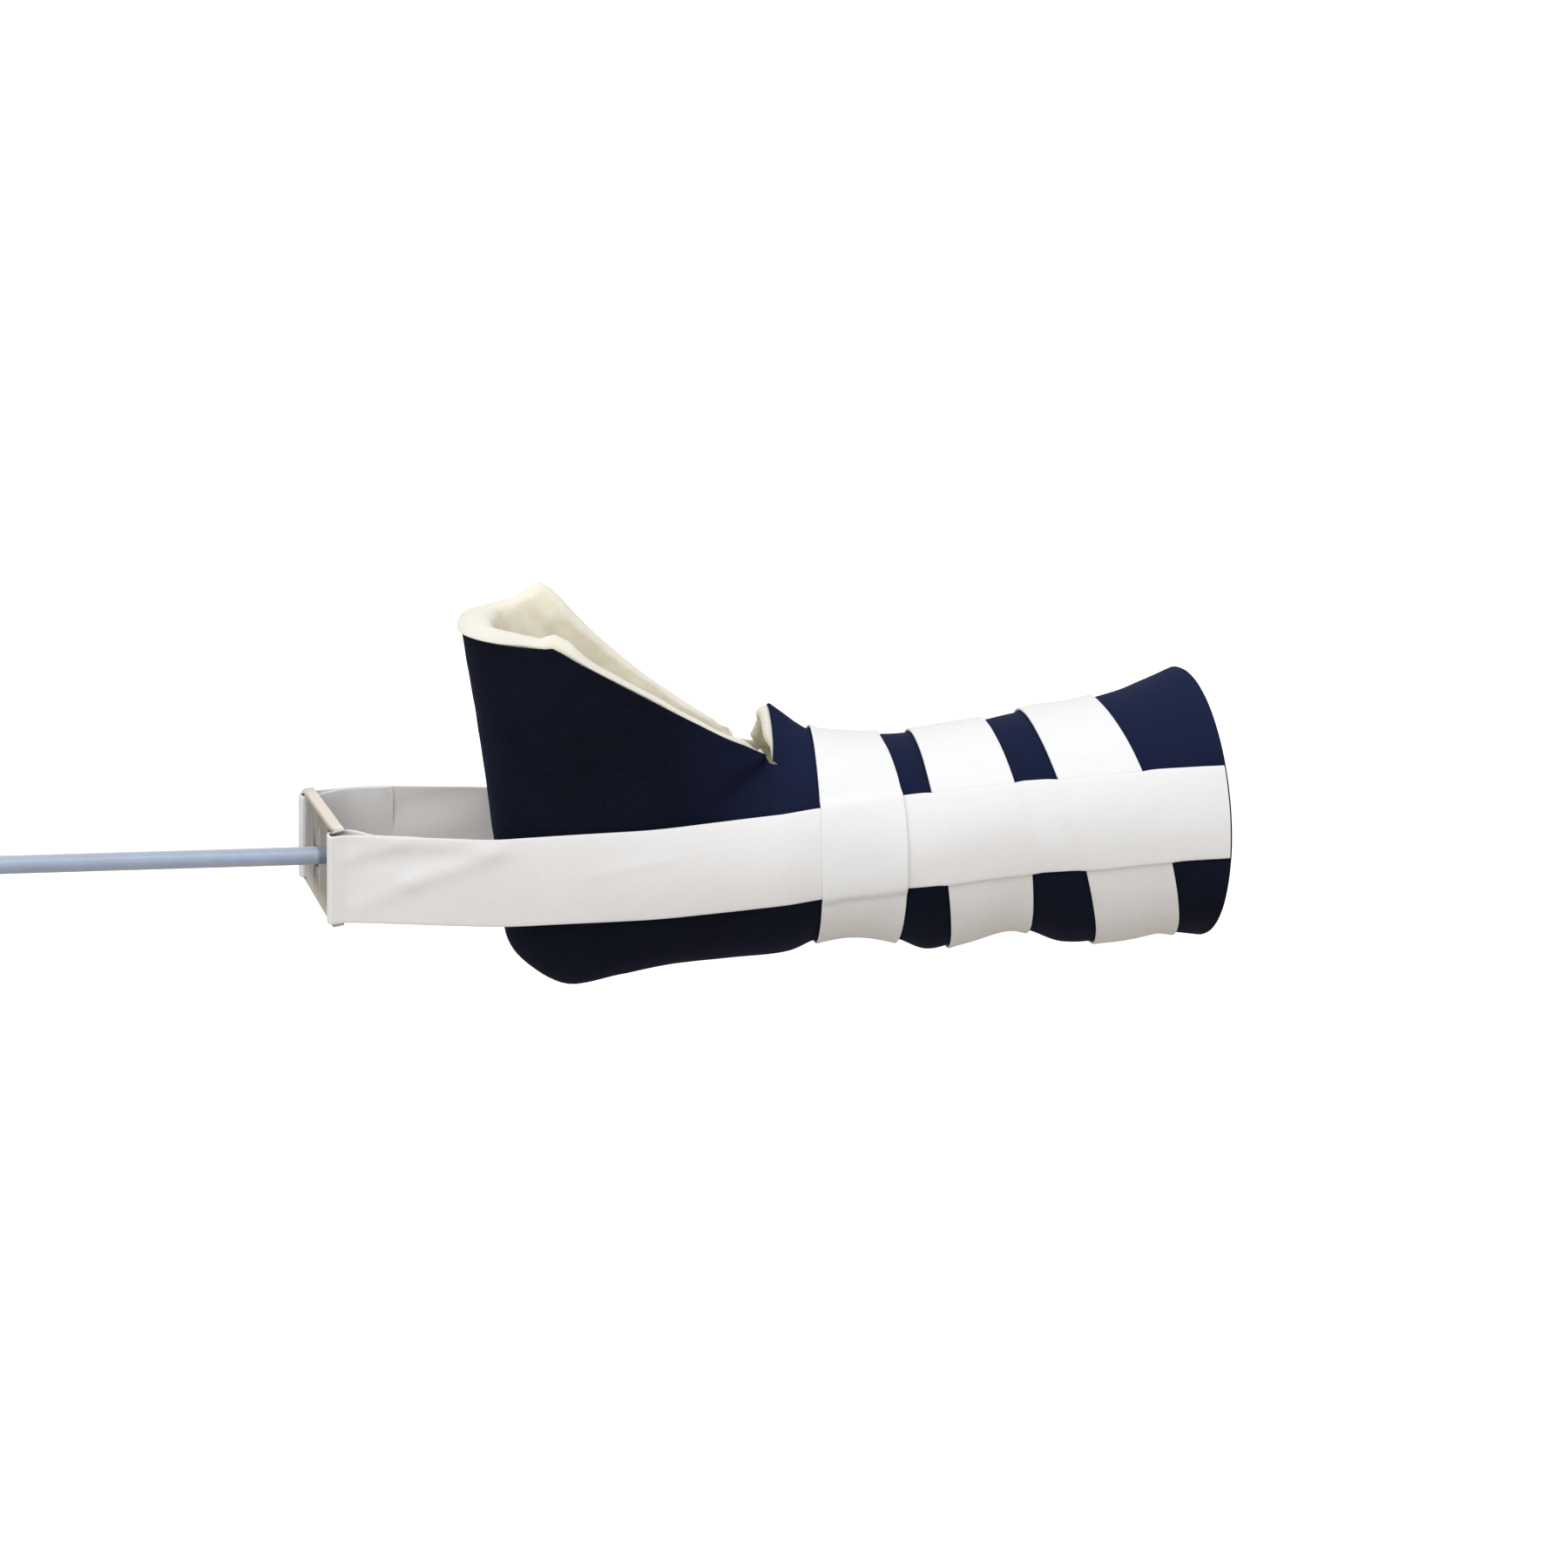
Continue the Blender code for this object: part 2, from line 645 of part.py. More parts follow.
def turned(name, profile, start, direction, sides, finish):
    """A solid turned about a line: profile rows are (distance along, radius)."""
    ahead = Vector(direction).normalized()
    side = ahead.orthogonal().normalized()
    other = ahead.cross(side)
    points = []
    for along, radius in profile:
        for place in range(sides):
            turn = 2.0 * math.pi * place / sides
            spoke = side * math.cos(turn) + other * math.sin(turn)
            points.append(tuple(Vector(start) + ahead * along + spoke * radius))
    faces = []
    for row in range(len(profile) - 1):
        for place in range(sides):
            after = (place + 1) % sides
            start_row = row * sides
            next_row = start_row + sides
            faces.append((start_row + place, start_row + after, next_row + after, next_row + place))
    last = (len(profile) - 1) * sides
    faces.append(tuple(range(sides)))
    faces.append(tuple(last + i for i in reversed(range(sides))))
    return object_from(name, points, faces, finish)


def stopper_knot(finish):
    """The knot behind the plate that the cord pulls against."""
    start = np.array(CORD_ROUTE[0])
    ahead = start - np.array(CORD_ROUTE[1])
    ahead /= np.linalg.norm(ahead)
    profile = []
    for turn in np.linspace(0.0, math.pi, KNOT_ROWS):
        along = CLEARANCE + KNOT_LENGTH * (1.0 - math.cos(turn)) / 2.0
        diameter = KNOT_NECK + (KNOT_DIAMETER - KNOT_NECK) * math.sin(turn)
        profile.append((along, diameter / 2.0))
    return turned("stopper_knot", profile, start, ahead, TURNED_SIDES, finish)


def pull_eye(finish):
    """The eye at the cord's outer end: an oval ring of cord with a whipped neck."""
    end = np.array(CORD_ROUTE[-1])
    ahead = end - np.array(CORD_ROUTE[-2])
    ahead /= np.linalg.norm(ahead)
    neck_profile = []
    for along, radius in WHIPPING_ROWS:
        neck_profile.append((CLEARANCE + along * WHIPPING_LENGTH, radius * CORD_DIAMETER))
    neck = turned("pull_eye", neck_profile, end, ahead, TURNED_SIDES, finish)
    start = end + ahead * (WHIPPING_LENGTH - EYE_OVERLAP)
    long_half = (EYE_LENGTH - CORD_DIAMETER) / 2.0
    wide_half = (EYE_WIDTH - CORD_DIAMETER) / 2.0
    aside = np.array([0.0, 1.0, 0.0])
    upright = np.cross(ahead, aside)
    points = []
    for place in range(EYE_POINTS):
        turn = 2.0 * math.pi * place / EYE_POINTS
        centre = start + ahead * long_half * (1.0 - math.cos(turn)) + upright * wide_half * math.sin(turn)
        outward = ahead * -math.cos(turn) * wide_half + upright * math.sin(turn) * long_half
        outward /= np.linalg.norm(outward)
        for step in range(EYE_SIDES):
            spin = 2.0 * math.pi * step / EYE_SIDES
            spoke = outward * math.cos(spin) + aside * math.sin(spin)
            points.append(centre + spoke * CORD_DIAMETER / 2.0)
    faces = []
    for place in range(EYE_POINTS):
        here = place * EYE_SIDES
        after = (place + 1) % EYE_POINTS * EYE_SIDES
        for step in range(EYE_SIDES):
            beside = (step + 1) % EYE_SIDES
            faces.append((here + step, here + beside, after + beside, after + step))
    ring = object_from("eye_ring_cutter", points, faces, finish)
    cut(neck, ring, "UNION")
    return neck


def main():
    """Build the boot, its straps, the plate and the cord."""
    remove_all_objects()
    navy = material("navy_cloth", (0.012, 0.018, 0.045), 0.85)
    cream = material("cream_fleece", (0.86, 0.79, 0.64), 0.95)
    white = material("white_webbing", (0.82, 0.80, 0.77), 0.75)
    steel = material("bright_steel", (0.55, 0.57, 0.60), 0.15, 1.0)
    rope = material("pale_cord", (0.42, 0.50, 0.62), 0.35)

    points, faces = boot_surface()
    shell = wall_between("boot_shell", points, faces, 0.0, SHELL_WALL, 0.0, navy)
    start = SHELL_WALL + CLEARANCE
    wall_between("boot_lining", points, faces, start, start + LINING_WALL, LINING_PROUD, cream)

    straps = {}
    for name, place, lean in STRAP_ROWS[1:]:
        straps[name] = leg_strap(name, place, lean, [shell], white)
    sides = []
    for name, side in (("near_side_strap", -1.0), ("far_side_strap", 1.0)):
        sides.append(side_strap(name, side, [shell, *straps.values()], white))
    name, place, lean = STRAP_ROWS[0]
    leg_strap(name, place, lean, [shell, *sides], white)

    spreader_plate(steel)
    tube("traction_cord", smooth_route(CORD_ROUTE, CORD_PITCH), CORD_DIAMETER, rope)
    stopper_knot(rope)
    pull_eye(rope)


main()
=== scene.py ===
"""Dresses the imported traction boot: cloth wrap, fleece lining, webbing, steel plate and pull cord.

X runs up the leg, Z towards the toes, and the side that is seen has a negative Y. All
sizes are in metres. The wrap's formula and tables repeat the part's own source, divided
more finely, and every strap is laid on a height map of what lies under it.
"""

import sys
import logging
import math
from dataclasses import dataclass
from enum import Enum

import bmesh
import bpy
import numpy as np
from mathutils import Matrix, Vector


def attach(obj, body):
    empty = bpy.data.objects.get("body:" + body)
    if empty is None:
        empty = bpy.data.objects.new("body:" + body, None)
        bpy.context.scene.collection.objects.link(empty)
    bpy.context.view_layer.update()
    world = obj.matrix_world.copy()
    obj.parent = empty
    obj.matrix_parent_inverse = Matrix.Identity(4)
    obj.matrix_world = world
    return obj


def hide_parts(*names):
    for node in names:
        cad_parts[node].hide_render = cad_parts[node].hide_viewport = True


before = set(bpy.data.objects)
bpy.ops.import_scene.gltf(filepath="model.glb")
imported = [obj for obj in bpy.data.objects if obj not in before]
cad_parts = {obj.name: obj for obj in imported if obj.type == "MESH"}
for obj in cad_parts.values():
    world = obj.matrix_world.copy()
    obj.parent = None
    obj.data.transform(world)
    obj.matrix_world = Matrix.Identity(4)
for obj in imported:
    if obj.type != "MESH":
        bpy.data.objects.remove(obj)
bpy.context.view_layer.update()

LOG = logging.getLogger("traction_boot")


# Tools for grids


def smooth_step(values: np.ndarray) -> np.ndarray:
    """Ease from 0 to 1: 3t squared less 2t cubed, with t held between 0 and 1."""
    share = np.clip(values, 0.0, 1.0)
    return share * share * (3.0 - 2.0 * share)


def signed_power(values: np.ndarray, power: float) -> np.ndarray:
    """The power of a number that keeps its sign."""
    return np.sign(values) * np.abs(values) ** power


def waves(points: np.ndarray, size: float, seed: int, count: int = 28) -> np.ndarray:
    """Smooth noise over space: a sum of plane waves in random directions.

    Args:
        points: places, with x, y and z in the last axis.
        size: the distance over which the noise changes, in metres.
        seed: picks the waves, so that each use has its own.
        count: how many waves are summed.

    Returns:
        The noise at each place, with a spread of about 1.
    """
    dice = np.random.default_rng(seed)
    ways = dice.normal(size=(count, 3))
    ways /= np.linalg.norm(ways, axis=1, keepdims=True)
    ways *= dice.uniform(0.6, 1.6, size=(count, 1)) * math.pi / size
    start = dice.uniform(0.0, 2.0 * math.pi, size=count)
    return np.sin(points @ ways.T + start).sum(axis=-1) * math.sqrt(2.0 / count)


def slopes_of(rows: np.ndarray, run: np.ndarray) -> np.ndarray:
    """Slopes at rows of points: the differences either side, slowed where one side is much shorter.

    Args:
        rows: control rows, with the row in the first axis.
        run: the rows' places along the curves.

    Returns:
        A slope for each point, never over 1.6 times the slower of its two stretches.
    """
    slopes = np.gradient(rows, run, axis=0)
    step = np.diff(rows, axis=0) / np.diff(run).reshape(-1, *(1,) * (rows.ndim - 1))
    pace = np.linalg.norm(step, axis=-1, keepdims=True)
    slow = np.concatenate([pace[:1], np.minimum(pace[:-1], pace[1:]), pace[-1:]])
    size = np.linalg.norm(slopes, axis=-1, keepdims=True)
    return slopes * np.minimum(1.0, 1.6 * slow / np.maximum(size, 1e-12))


def refine(rows: np.ndarray, run: np.ndarray, steps: int, last: np.ndarray | None = None) -> np.ndarray:
    """Points between rows, on cubic curves through them.

    Args:
        rows: control rows, with the row in the first axis.
        run: the rows' places along the curves.
        steps: how many steps each stretch between two rows gets.
        last: the slope at the last row, where it isn't the plain difference.

    Returns:
        The finer rows, the last control row included.
    """
    slopes = slopes_of(rows, run)
    if last is not None:
        slopes[-1] = last
    spare = (1,) * (rows.ndim - 1)
    t = (np.arange(steps) / steps).reshape(1, steps, *spare)
    span = np.diff(run).reshape(-1, 1, *spare)
    first, after = rows[:-1, None], rows[1:, None]
    curve = (2 * t**3 - 3 * t**2 + 1) * first + (t**3 - 2 * t**2 + t) * span * slopes[:-1, None]
    curve = curve + (3 * t**2 - 2 * t**3) * after + (t**3 - t**2) * span * slopes[1:, None]
    return np.concatenate([curve.reshape(-1, *rows.shape[1:]), rows[-1:]])


def numbered(shape: tuple[int, ...], start: int = 0) -> np.ndarray:
    """Vertex numbers in a grid, row after row."""
    return start + np.arange(math.prod(shape)).reshape(shape)


def grid_quads(index: np.ndarray) -> np.ndarray:
    """Quads between the neighbours of a grid of vertex numbers, one row of four numbers for each."""
    corners = [index[:-1, :-1], index[:-1, 1:], index[1:, 1:], index[1:, :-1]]
    return np.stack(corners, axis=-1).reshape(-1, 4)


def run_along(points: np.ndarray) -> np.ndarray:
    """How far each point of a path lies from the path's start."""
    return np.concatenate([[0.0], np.cumsum(np.linalg.norm(np.diff(points, axis=0), axis=1))])


def vertex_normals(points: np.ndarray, quads: np.ndarray) -> np.ndarray:
    """Unit normals at the vertices: the sum of the crossed diagonals of the quads that meet there."""
    first = points[quads[:, 2]] - points[quads[:, 0]]
    second = points[quads[:, 3]] - points[quads[:, 1]]
    facing = np.cross(first, second)
    total = np.zeros_like(points)
    np.add.at(total, quads.ravel(), np.repeat(facing, 4, axis=0))
    return total / np.maximum(np.linalg.norm(total, axis=1, keepdims=True), 1e-12)


class HeightMap:
    """The outermost height of a surface over a flat grid, for laying a strap on it."""

    def __init__(self, low: tuple, high: tuple, pitch: tuple) -> None:
        """Start an empty map.

        Args:
            low: the grid's lowest corner.
            high: the grid's highest corner.
            pitch: the cells' size each way.
        """
        self.low = np.array(low)
        self.pitch = np.array(pitch)
        size = np.ceil((np.array(high) - self.low) / self.pitch).astype(int) + 1
        self.heights = np.full(tuple(size), -1.0)

    def lay(self, first: np.ndarray, second: np.ndarray, heights: np.ndarray) -> None:
        """Raise the cells under some points to the points' heights.

        Args:
            first: the points' places along the grid's first axis.
            second: their places along the second axis.
            heights: their heights.
        """
        cells = np.stack([first.ravel(), second.ravel()], axis=1)
        cells = np.rint((cells - self.low) / self.pitch).astype(int)
        size = np.array(self.heights.shape)
        inside = np.all((cells >= 0) & (cells < size), axis=1)
        spot = tuple(cells[inside].T)
        np.maximum.at(self.heights, spot, heights.ravel()[inside])

    def settle(self, fills: int, grow: int, blur: int) -> "HeightMap":
        """A copy with its holes filled, spread to what lies beside it and then smoothed.

        Args:
            fills: how many cells wide a hole may be.
            grow: how many cells the high places spread.
            blur: how many times each cell takes its neighbours' mean.

        Returns:
            The new map.
        """
        made = HeightMap.__new__(HeightMap)
        made.low, made.pitch = self.low, self.pitch
        heights = self.heights.copy()
        for _ in range(fills):
            heights = np.where(heights < 0.0, self.around(heights).max(axis=0), heights)
        for _ in range(grow):
            heights = self.around(heights).max(axis=0)
        for _ in range(blur):
            near = self.around(heights)
            weight = (near >= 0.0).astype(float)
            mean = (near * weight).sum(axis=0) / np.maximum(weight.sum(axis=0), 1.0)
            heights = np.where(heights >= 0.0, mean, heights)
        made.heights = heights
        return made

    @staticmethod
    def around(heights: np.ndarray) -> np.ndarray:
        """Each cell and its four neighbours, stacked in a new first axis."""
        wide = np.pad(heights, 1, mode="edge")
        return np.stack([heights, wide[:-2, 1:-1], wide[2:, 1:-1], wide[1:-1, :-2], wide[1:-1, 2:]])

    def at(self, first: np.ndarray, second: np.ndarray) -> np.ndarray:
        """Heights between the cells, each a mix of the four around it.

        Args:
            first: places along the grid's first axis.
            second: places along the second axis.

        Returns:
            The heights.
        """
        top = np.array(self.heights.shape) - 1.001
        u = np.clip((first - self.low[0]) / self.pitch[0], 0.0, top[0])
        v = np.clip((second - self.low[1]) / self.pitch[1], 0.0, top[1])
        i, j = u.astype(int), v.astype(int)
        u, v = u - i, v - j
        near = self.heights[i, j] * (1 - v) + self.heights[i, j + 1] * v
        far = self.heights[i + 1, j] * (1 - v) + self.heights[i + 1, j + 1] * v
        return near * (1 - u) + far * u


# Shader tools


class Effect(Enum):
    """The shared node groups."""

    WEAVE = "woven_threads"
    NAP = "brushed_nap"
    HANDLING = "handling_marks"


class NodeBench:
    """Adds nodes to one tree and joins them up."""

    def __init__(self, tree: bpy.types.NodeTree) -> None:
        """Work on a node tree."""
        self.tree = tree

    def fill(self, node: bpy.types.Node, inputs: dict) -> None:
        """Give a node's sockets, by name or number, a value or another node's output."""
        for name, value in inputs.items():
            if isinstance(value, bpy.types.NodeSocket):
                self.tree.links.new(value, node.inputs[name])
            else:
                node.inputs[name].default_value = value

    def add(self, kind: str, inputs: dict | None = None, **settings: object) -> bpy.types.Node:
        """Add a node, set its options and fill its sockets.

        Args:
            kind: the node's type.
            inputs: socket name or number to a value, or to another node's output.
            settings: the node's own options.

        Returns:
            The new node.
        """
        node = self.tree.nodes.new(kind)
        for name, value in settings.items():
            setattr(node, name, value)
        self.fill(node, inputs or {})
        return node

    def maths(self, operation: str, *values: object) -> bpy.types.NodeSocket:
        """The result of a Math node, from up to three numbers or outputs."""
        return self.add("ShaderNodeMath", dict(enumerate(values)), operation=operation).outputs[0]

    def mix(self, share: object, first: object, second: object) -> bpy.types.NodeSocket:
        """A colour that is a share of the way from the first to the second."""
        inputs = {0: share, 6: first, 7: second}
        return self.add("ShaderNodeMix", inputs, data_type="RGBA").outputs[2]

    def spread(
        self, value: object, low: float, high: float, to_low: float = 0.0, to_high: float = 1.0
    ) -> bpy.types.NodeSocket:
        """A value carried from the range low to high to another range, and held inside it."""
        inputs = {0: value, 1: low, 2: high, 3: to_low, 4: to_high}
        return self.add("ShaderNodeMapRange", inputs, clamp=True).outputs[0]

    def noise(
        self, vector: object, scale: object, detail: float, roughness: float = 0.5
    ) -> bpy.types.NodeSocket:
        """Cloudy noise over some coordinates."""
        inputs = {"Vector": vector, "Scale": scale, "Detail": detail, "Roughness": roughness}
        return self.add("ShaderNodeTexNoise", inputs).outputs[0]

    def bump(self, height: object, distance: float, strength: float, **under: object) -> bpy.types.NodeSocket:
        """A normal bumped by a height, over another one where Normal is given."""
        inputs = {"Height": height, "Distance": distance, "Strength": strength, **under}
        return self.add("ShaderNodeBump", inputs).outputs[0]


class EffectLibrary:
    """Builds each shared node group once and hands it out."""

    def __init__(self) -> None:
        """Build the three groups."""
        self.groups = {
            Effect.WEAVE: self.weave(),
            Effect.NAP: self.nap(),
            Effect.HANDLING: self.handling(),
        }

    def start(self, effect: Effect, inputs: tuple, outputs: tuple) -> tuple:
        """Make an empty group with its sockets.

        Args:
            effect: which group.
            inputs: name, socket kind and value of each input.
            outputs: name and socket kind of each output.

        Returns:
            Its bench, its group input node and its group output node.
        """
        tree = bpy.data.node_groups.new(effect.value, "ShaderNodeTree")
        for name, kind, value in inputs:
            socket = tree.interface.new_socket(name=name, in_out="INPUT", socket_type=kind)
            if value is not None:
                socket.default_value = value
        for name, kind in outputs:
            tree.interface.new_socket(name=name, in_out="OUTPUT", socket_type=kind)
        bench = NodeBench(tree)
        return bench, bench.add("NodeGroupInput"), bench.add("NodeGroupOutput")

    def weave(self) -> bpy.types.NodeTree:
        """Threads over and under: two crossed sine ribs, each on top in every second cell."""
        bench, given, out = self.start(
            Effect.WEAVE,
            (("Vector", "NodeSocketVector", None), ("Threads per metre", "NodeSocketFloat", 900.0)),
            (("Height", "NodeSocketFloat"), ("Tone", "NodeSocketFloat")),
        )
        scaled = bench.add(
            "ShaderNodeVectorMath", {0: given.outputs[0], "Scale": given.outputs[1]}, operation="SCALE"
        )
        cut = bench.add("ShaderNodeSeparateXYZ", {0: scaled.outputs[0]})
        ribs = []
        floors = []
        for axis in (0, 1):
            turn = bench.maths("MULTIPLY", cut.outputs[axis], math.pi)
            ribs.append(bench.maths("ABSOLUTE", bench.maths("SINE", turn)))
            floors.append(bench.maths("FLOOR", cut.outputs[axis]))
        parity = bench.maths("PINGPONG", bench.maths("ADD", *floors), 1.0)
        over = bench.maths("MULTIPLY", ribs[0], parity)
        under = bench.maths("MULTIPLY", ribs[1], bench.maths("SUBTRACT", 1.0, parity))
        height = bench.maths("ADD", over, under)
        bench.fill(out, {"Height": height, "Tone": bench.spread(height, 0.0, 1.0, 0.75, 1.0)})
        return bench.tree

    def nap(self) -> bpy.types.NodeTree:
        """Raised fibres: fine noise over coarser tufts."""
        bench, given, out = self.start(
            Effect.NAP,
            (
                ("Vector", "NodeSocketVector", None),
                ("Fibres", "NodeSocketFloat", 1800.0),
                ("Tufts", "NodeSocketFloat", 260.0),
            ),
            (("Height", "NodeSocketFloat"), ("Tone", "NodeSocketFloat")),
        )
        fine = bench.noise(given.outputs[0], given.outputs[1], 3.0, 0.65)
        tufts = bench.noise(given.outputs[0], given.outputs[2], 4.0, 0.6)
        height = bench.maths("MULTIPLY_ADD", fine, 0.45, tufts)
        bench.fill(out, {"Height": height, "Tone": bench.spread(height, 0.5, 0.95)})
        return bench.tree

    def handling(self) -> bpy.types.NodeTree:
        """Uneven shading and faint marks of use: broad noise with sparse finer patches."""
        bench, given, out = self.start(
            Effect.HANDLING,
            (("Vector", "NodeSocketVector", None), ("Scale", "NodeSocketFloat", 14.0)),
            (("Mottle", "NodeSocketFloat"), ("Marks", "NodeSocketFloat")),
        )
        finer = bench.maths("MULTIPLY", given.outputs[1], 5.0)
        broad = bench.noise(given.outputs[0], given.outputs[1], 4.0, 0.55)
        fine = bench.noise(given.outputs[0], finer, 6.0, 0.7)
        bench.fill(out, {"Mottle": bench.spread(broad, 0.3, 0.7), "Marks": bench.spread(fine, 0.58, 0.78)})
        return bench.tree

    def place(self, bench: NodeBench, effect: Effect, **inputs: object) -> bpy.types.Node:
        """Put a group into a material's tree.

        Args:
            bench: the material's bench.
            effect: which group.
            inputs: socket names, with spaces as underscores, and their values.

        Returns:
            The group node.
        """
        named = {name.replace("_", " "): value for name, value in inputs.items()}
        node = bench.add("ShaderNodeGroup", node_tree=self.groups[effect])
        bench.fill(node, named)
        return node


Colour = tuple[float, float, float, float]


def srgb(red: int, green: int, blue: int) -> Colour:
    """A colour given as it is seen on a screen, in linear light."""
    shares = np.array([red, green, blue]) / 255.0
    linear = np.where(shares <= 0.04045, shares / 12.92, ((shares + 0.055) / 1.055) ** 2.4)
    return (*linear.tolist(), 1.0)


def start_material(name: str) -> tuple:
    """A new material, its bench, its Principled shader and its Object coordinates."""
    made = bpy.data.materials.new(name)
    made.use_nodes = True
    bench = NodeBench(made.node_tree)
    place = bench.add("ShaderNodeTexCoord").outputs["Object"]
    return made, bench, made.node_tree.nodes["Principled BSDF"], place


@dataclass(frozen=True)
class ClothFinish:
    """A woven or brushed cloth, dyed one colour, with a painted top light over its upper side from the collar
    up the leg.
    """

    name: str
    deep: Colour
    lit: Colour
    # painted top light: the lighter colour painted over the upper side from the collar up the leg; it also
    # tints the sheen
    upper: Colour
    soiled: Colour
    roughness: float
    sheen: float
    threads: float
    weave_depth: float
    nap_depth: float

    def make(self, library: EffectLibrary) -> bpy.types.Material:
        """Build the material.

        Args:
            library: the shared node groups.

        Returns:
            The cloth: two tones by nap and weave, faint marks, a bump of both, and a painted top light that
                lightens its upper side from the collar up the leg.
        """
        made, bench, shader, place = start_material(self.name)
        flat = bench.add("ShaderNodeUVMap", uv_map="cloth").outputs[0]
        weave = library.place(bench, Effect.WEAVE, Vector=flat, Threads_per_metre=self.threads)
        nap = library.place(bench, Effect.NAP, Vector=place, Fibres=2200.0, Tufts=420.0)
        marks = library.place(bench, Effect.HANDLING, Vector=place, Scale=16.0)
        tone = bench.maths("MULTIPLY", nap.outputs["Tone"], weave.outputs["Tone"])
        tone = bench.maths("MULTIPLY", tone, 0.5)
        shade = bench.maths("MULTIPLY_ADD", marks.outputs["Mottle"], 0.5, tone)
        where = bench.add("ShaderNodeSeparateXYZ", {0: place})
        # painted top light: a share that grows with height and up the leg, by which the upper colour is
        # painted in
        high = bench.spread(where.outputs[2], -0.03, 0.075)
        calf = bench.spread(where.outputs[0], 0.03, 0.11)
        colour = bench.mix(shade, self.deep, self.lit)
        colour = bench.mix(bench.maths("MULTIPLY", high, calf), colour, self.upper)
        colour = bench.mix(bench.maths("MULTIPLY", marks.outputs["Marks"], 0.35), colour, self.soiled)
        rough = bench.spread(shade, 0.0, 1.0, self.roughness + 0.06, self.roughness - 0.06)
        woven = bench.bump(weave.outputs["Height"], self.weave_depth, 0.5)
        brushed = bench.bump(nap.outputs["Height"], self.nap_depth, 0.6, Normal=woven)
        bench.fill(shader, {"Base Color": colour, "Roughness": rough, "Normal": brushed})
        bench.fill(shader, {"Sheen Weight": self.sheen, "Sheen Roughness": 0.45, "Sheen Tint": self.upper})
        bench.fill(shader, {"Specular IOR Level": 0.14})
        return made


@dataclass(frozen=True)
class FleeceFinish:
    """A deep cream pile."""

    name: str
    hollow: Colour
    tip: Colour

    def make(self, library: EffectLibrary) -> bpy.types.Material:
        """Build the material.

        Args:
            library: the shared node groups.

        Returns:
            The pile: darker between its tufts, very rough, with a soft sheen.
        """
        made, bench, shader, place = start_material(self.name)
        pile = library.place(bench, Effect.NAP, Vector=place, Fibres=1500.0, Tufts=240.0)
        marks = library.place(bench, Effect.HANDLING, Vector=place, Scale=20.0)
        tone = bench.maths("MULTIPLY", pile.outputs["Tone"], 0.7)
        shade = bench.maths("MULTIPLY_ADD", marks.outputs["Mottle"], 0.3, tone)
        colour = bench.mix(shade, self.hollow, self.tip)
        bump = bench.bump(pile.outputs["Height"], 0.0011, 0.7)
        bench.fill(shader, {"Base Color": colour, "Roughness": 0.95, "Normal": bump})
        bench.fill(shader, {"Subsurface Weight": 0.5, "Subsurface Scale": 1.0})
        bench.fill(shader, {"Subsurface Radius": (0.012, 0.009, 0.006), "Specular IOR Level": 0.15})
        bench.fill(shader, {"Sheen Weight": 0.35, "Sheen Roughness": 0.6})
        return made


@dataclass(frozen=True)
class SteelFinish:
    """Polished sheet steel with faint rubbing, its reflections painted into its colour."""

    name: str
    # painted reflection: this dark colour stands in for dark surroundings reflected in the web
    colour: Colour
    # painted reflection: the pale colour painted along the top lip, towards the foot and in noisy bands
    painted_bright_reflection: Colour
    worn: Colour
    lip_z: float

    def make(self, library: EffectLibrary) -> bpy.types.Material:
        """Build the material.

        Args:
            library: the shared node groups.

        Returns:
            The steel: almost smooth and duller where it is handled, with painted reflections: dark over the
                web, white along the top lip, towards the foot and in noisy bands.
        """
        made, bench, shader, place = start_material(self.name)
        marks = library.place(bench, Effect.HANDLING, Vector=place, Scale=45.0)
        stretched = bench.add("ShaderNodeMapping", {"Vector": place, "Scale": (900.0, 900.0, 60.0)})
        lines = bench.noise(stretched.outputs[0], 1.0, 3.0)
        height = bench.add("ShaderNodeSeparateXYZ", {0: place}).outputs[2]
        # painted reflection: a band along the top lip, a fade towards the foot and noisy bands mix the dark
        # painted reflection towards the pale one
        lip = bench.spread(height, self.lip_z - 0.0008, self.lip_z + 0.0004)
        foot = bench.spread(height, 0.002, -0.012)
        painted_reflection_share = bench.maths("MAXIMUM", lip, bench.maths("MULTIPLY", foot, 0.75))
        painted_reflection_streak = bench.maths("MULTIPLY", marks.outputs["Mottle"], 0.16)
        colour = bench.mix(bench.maths("ADD", painted_reflection_share, painted_reflection_streak), self.colour, self.painted_bright_reflection)
        colour = bench.mix(bench.maths("MULTIPLY", marks.outputs["Marks"], 0.3), colour, self.worn)
        rough = bench.maths("MULTIPLY_ADD", marks.outputs["Marks"], 0.12, 0.05)
        bump = bench.bump(lines, 0.00002, 0.15)
        bench.fill(shader, {"Base Color": colour, "Metallic": 1.0, "Roughness": rough, "Normal": bump})
        return made


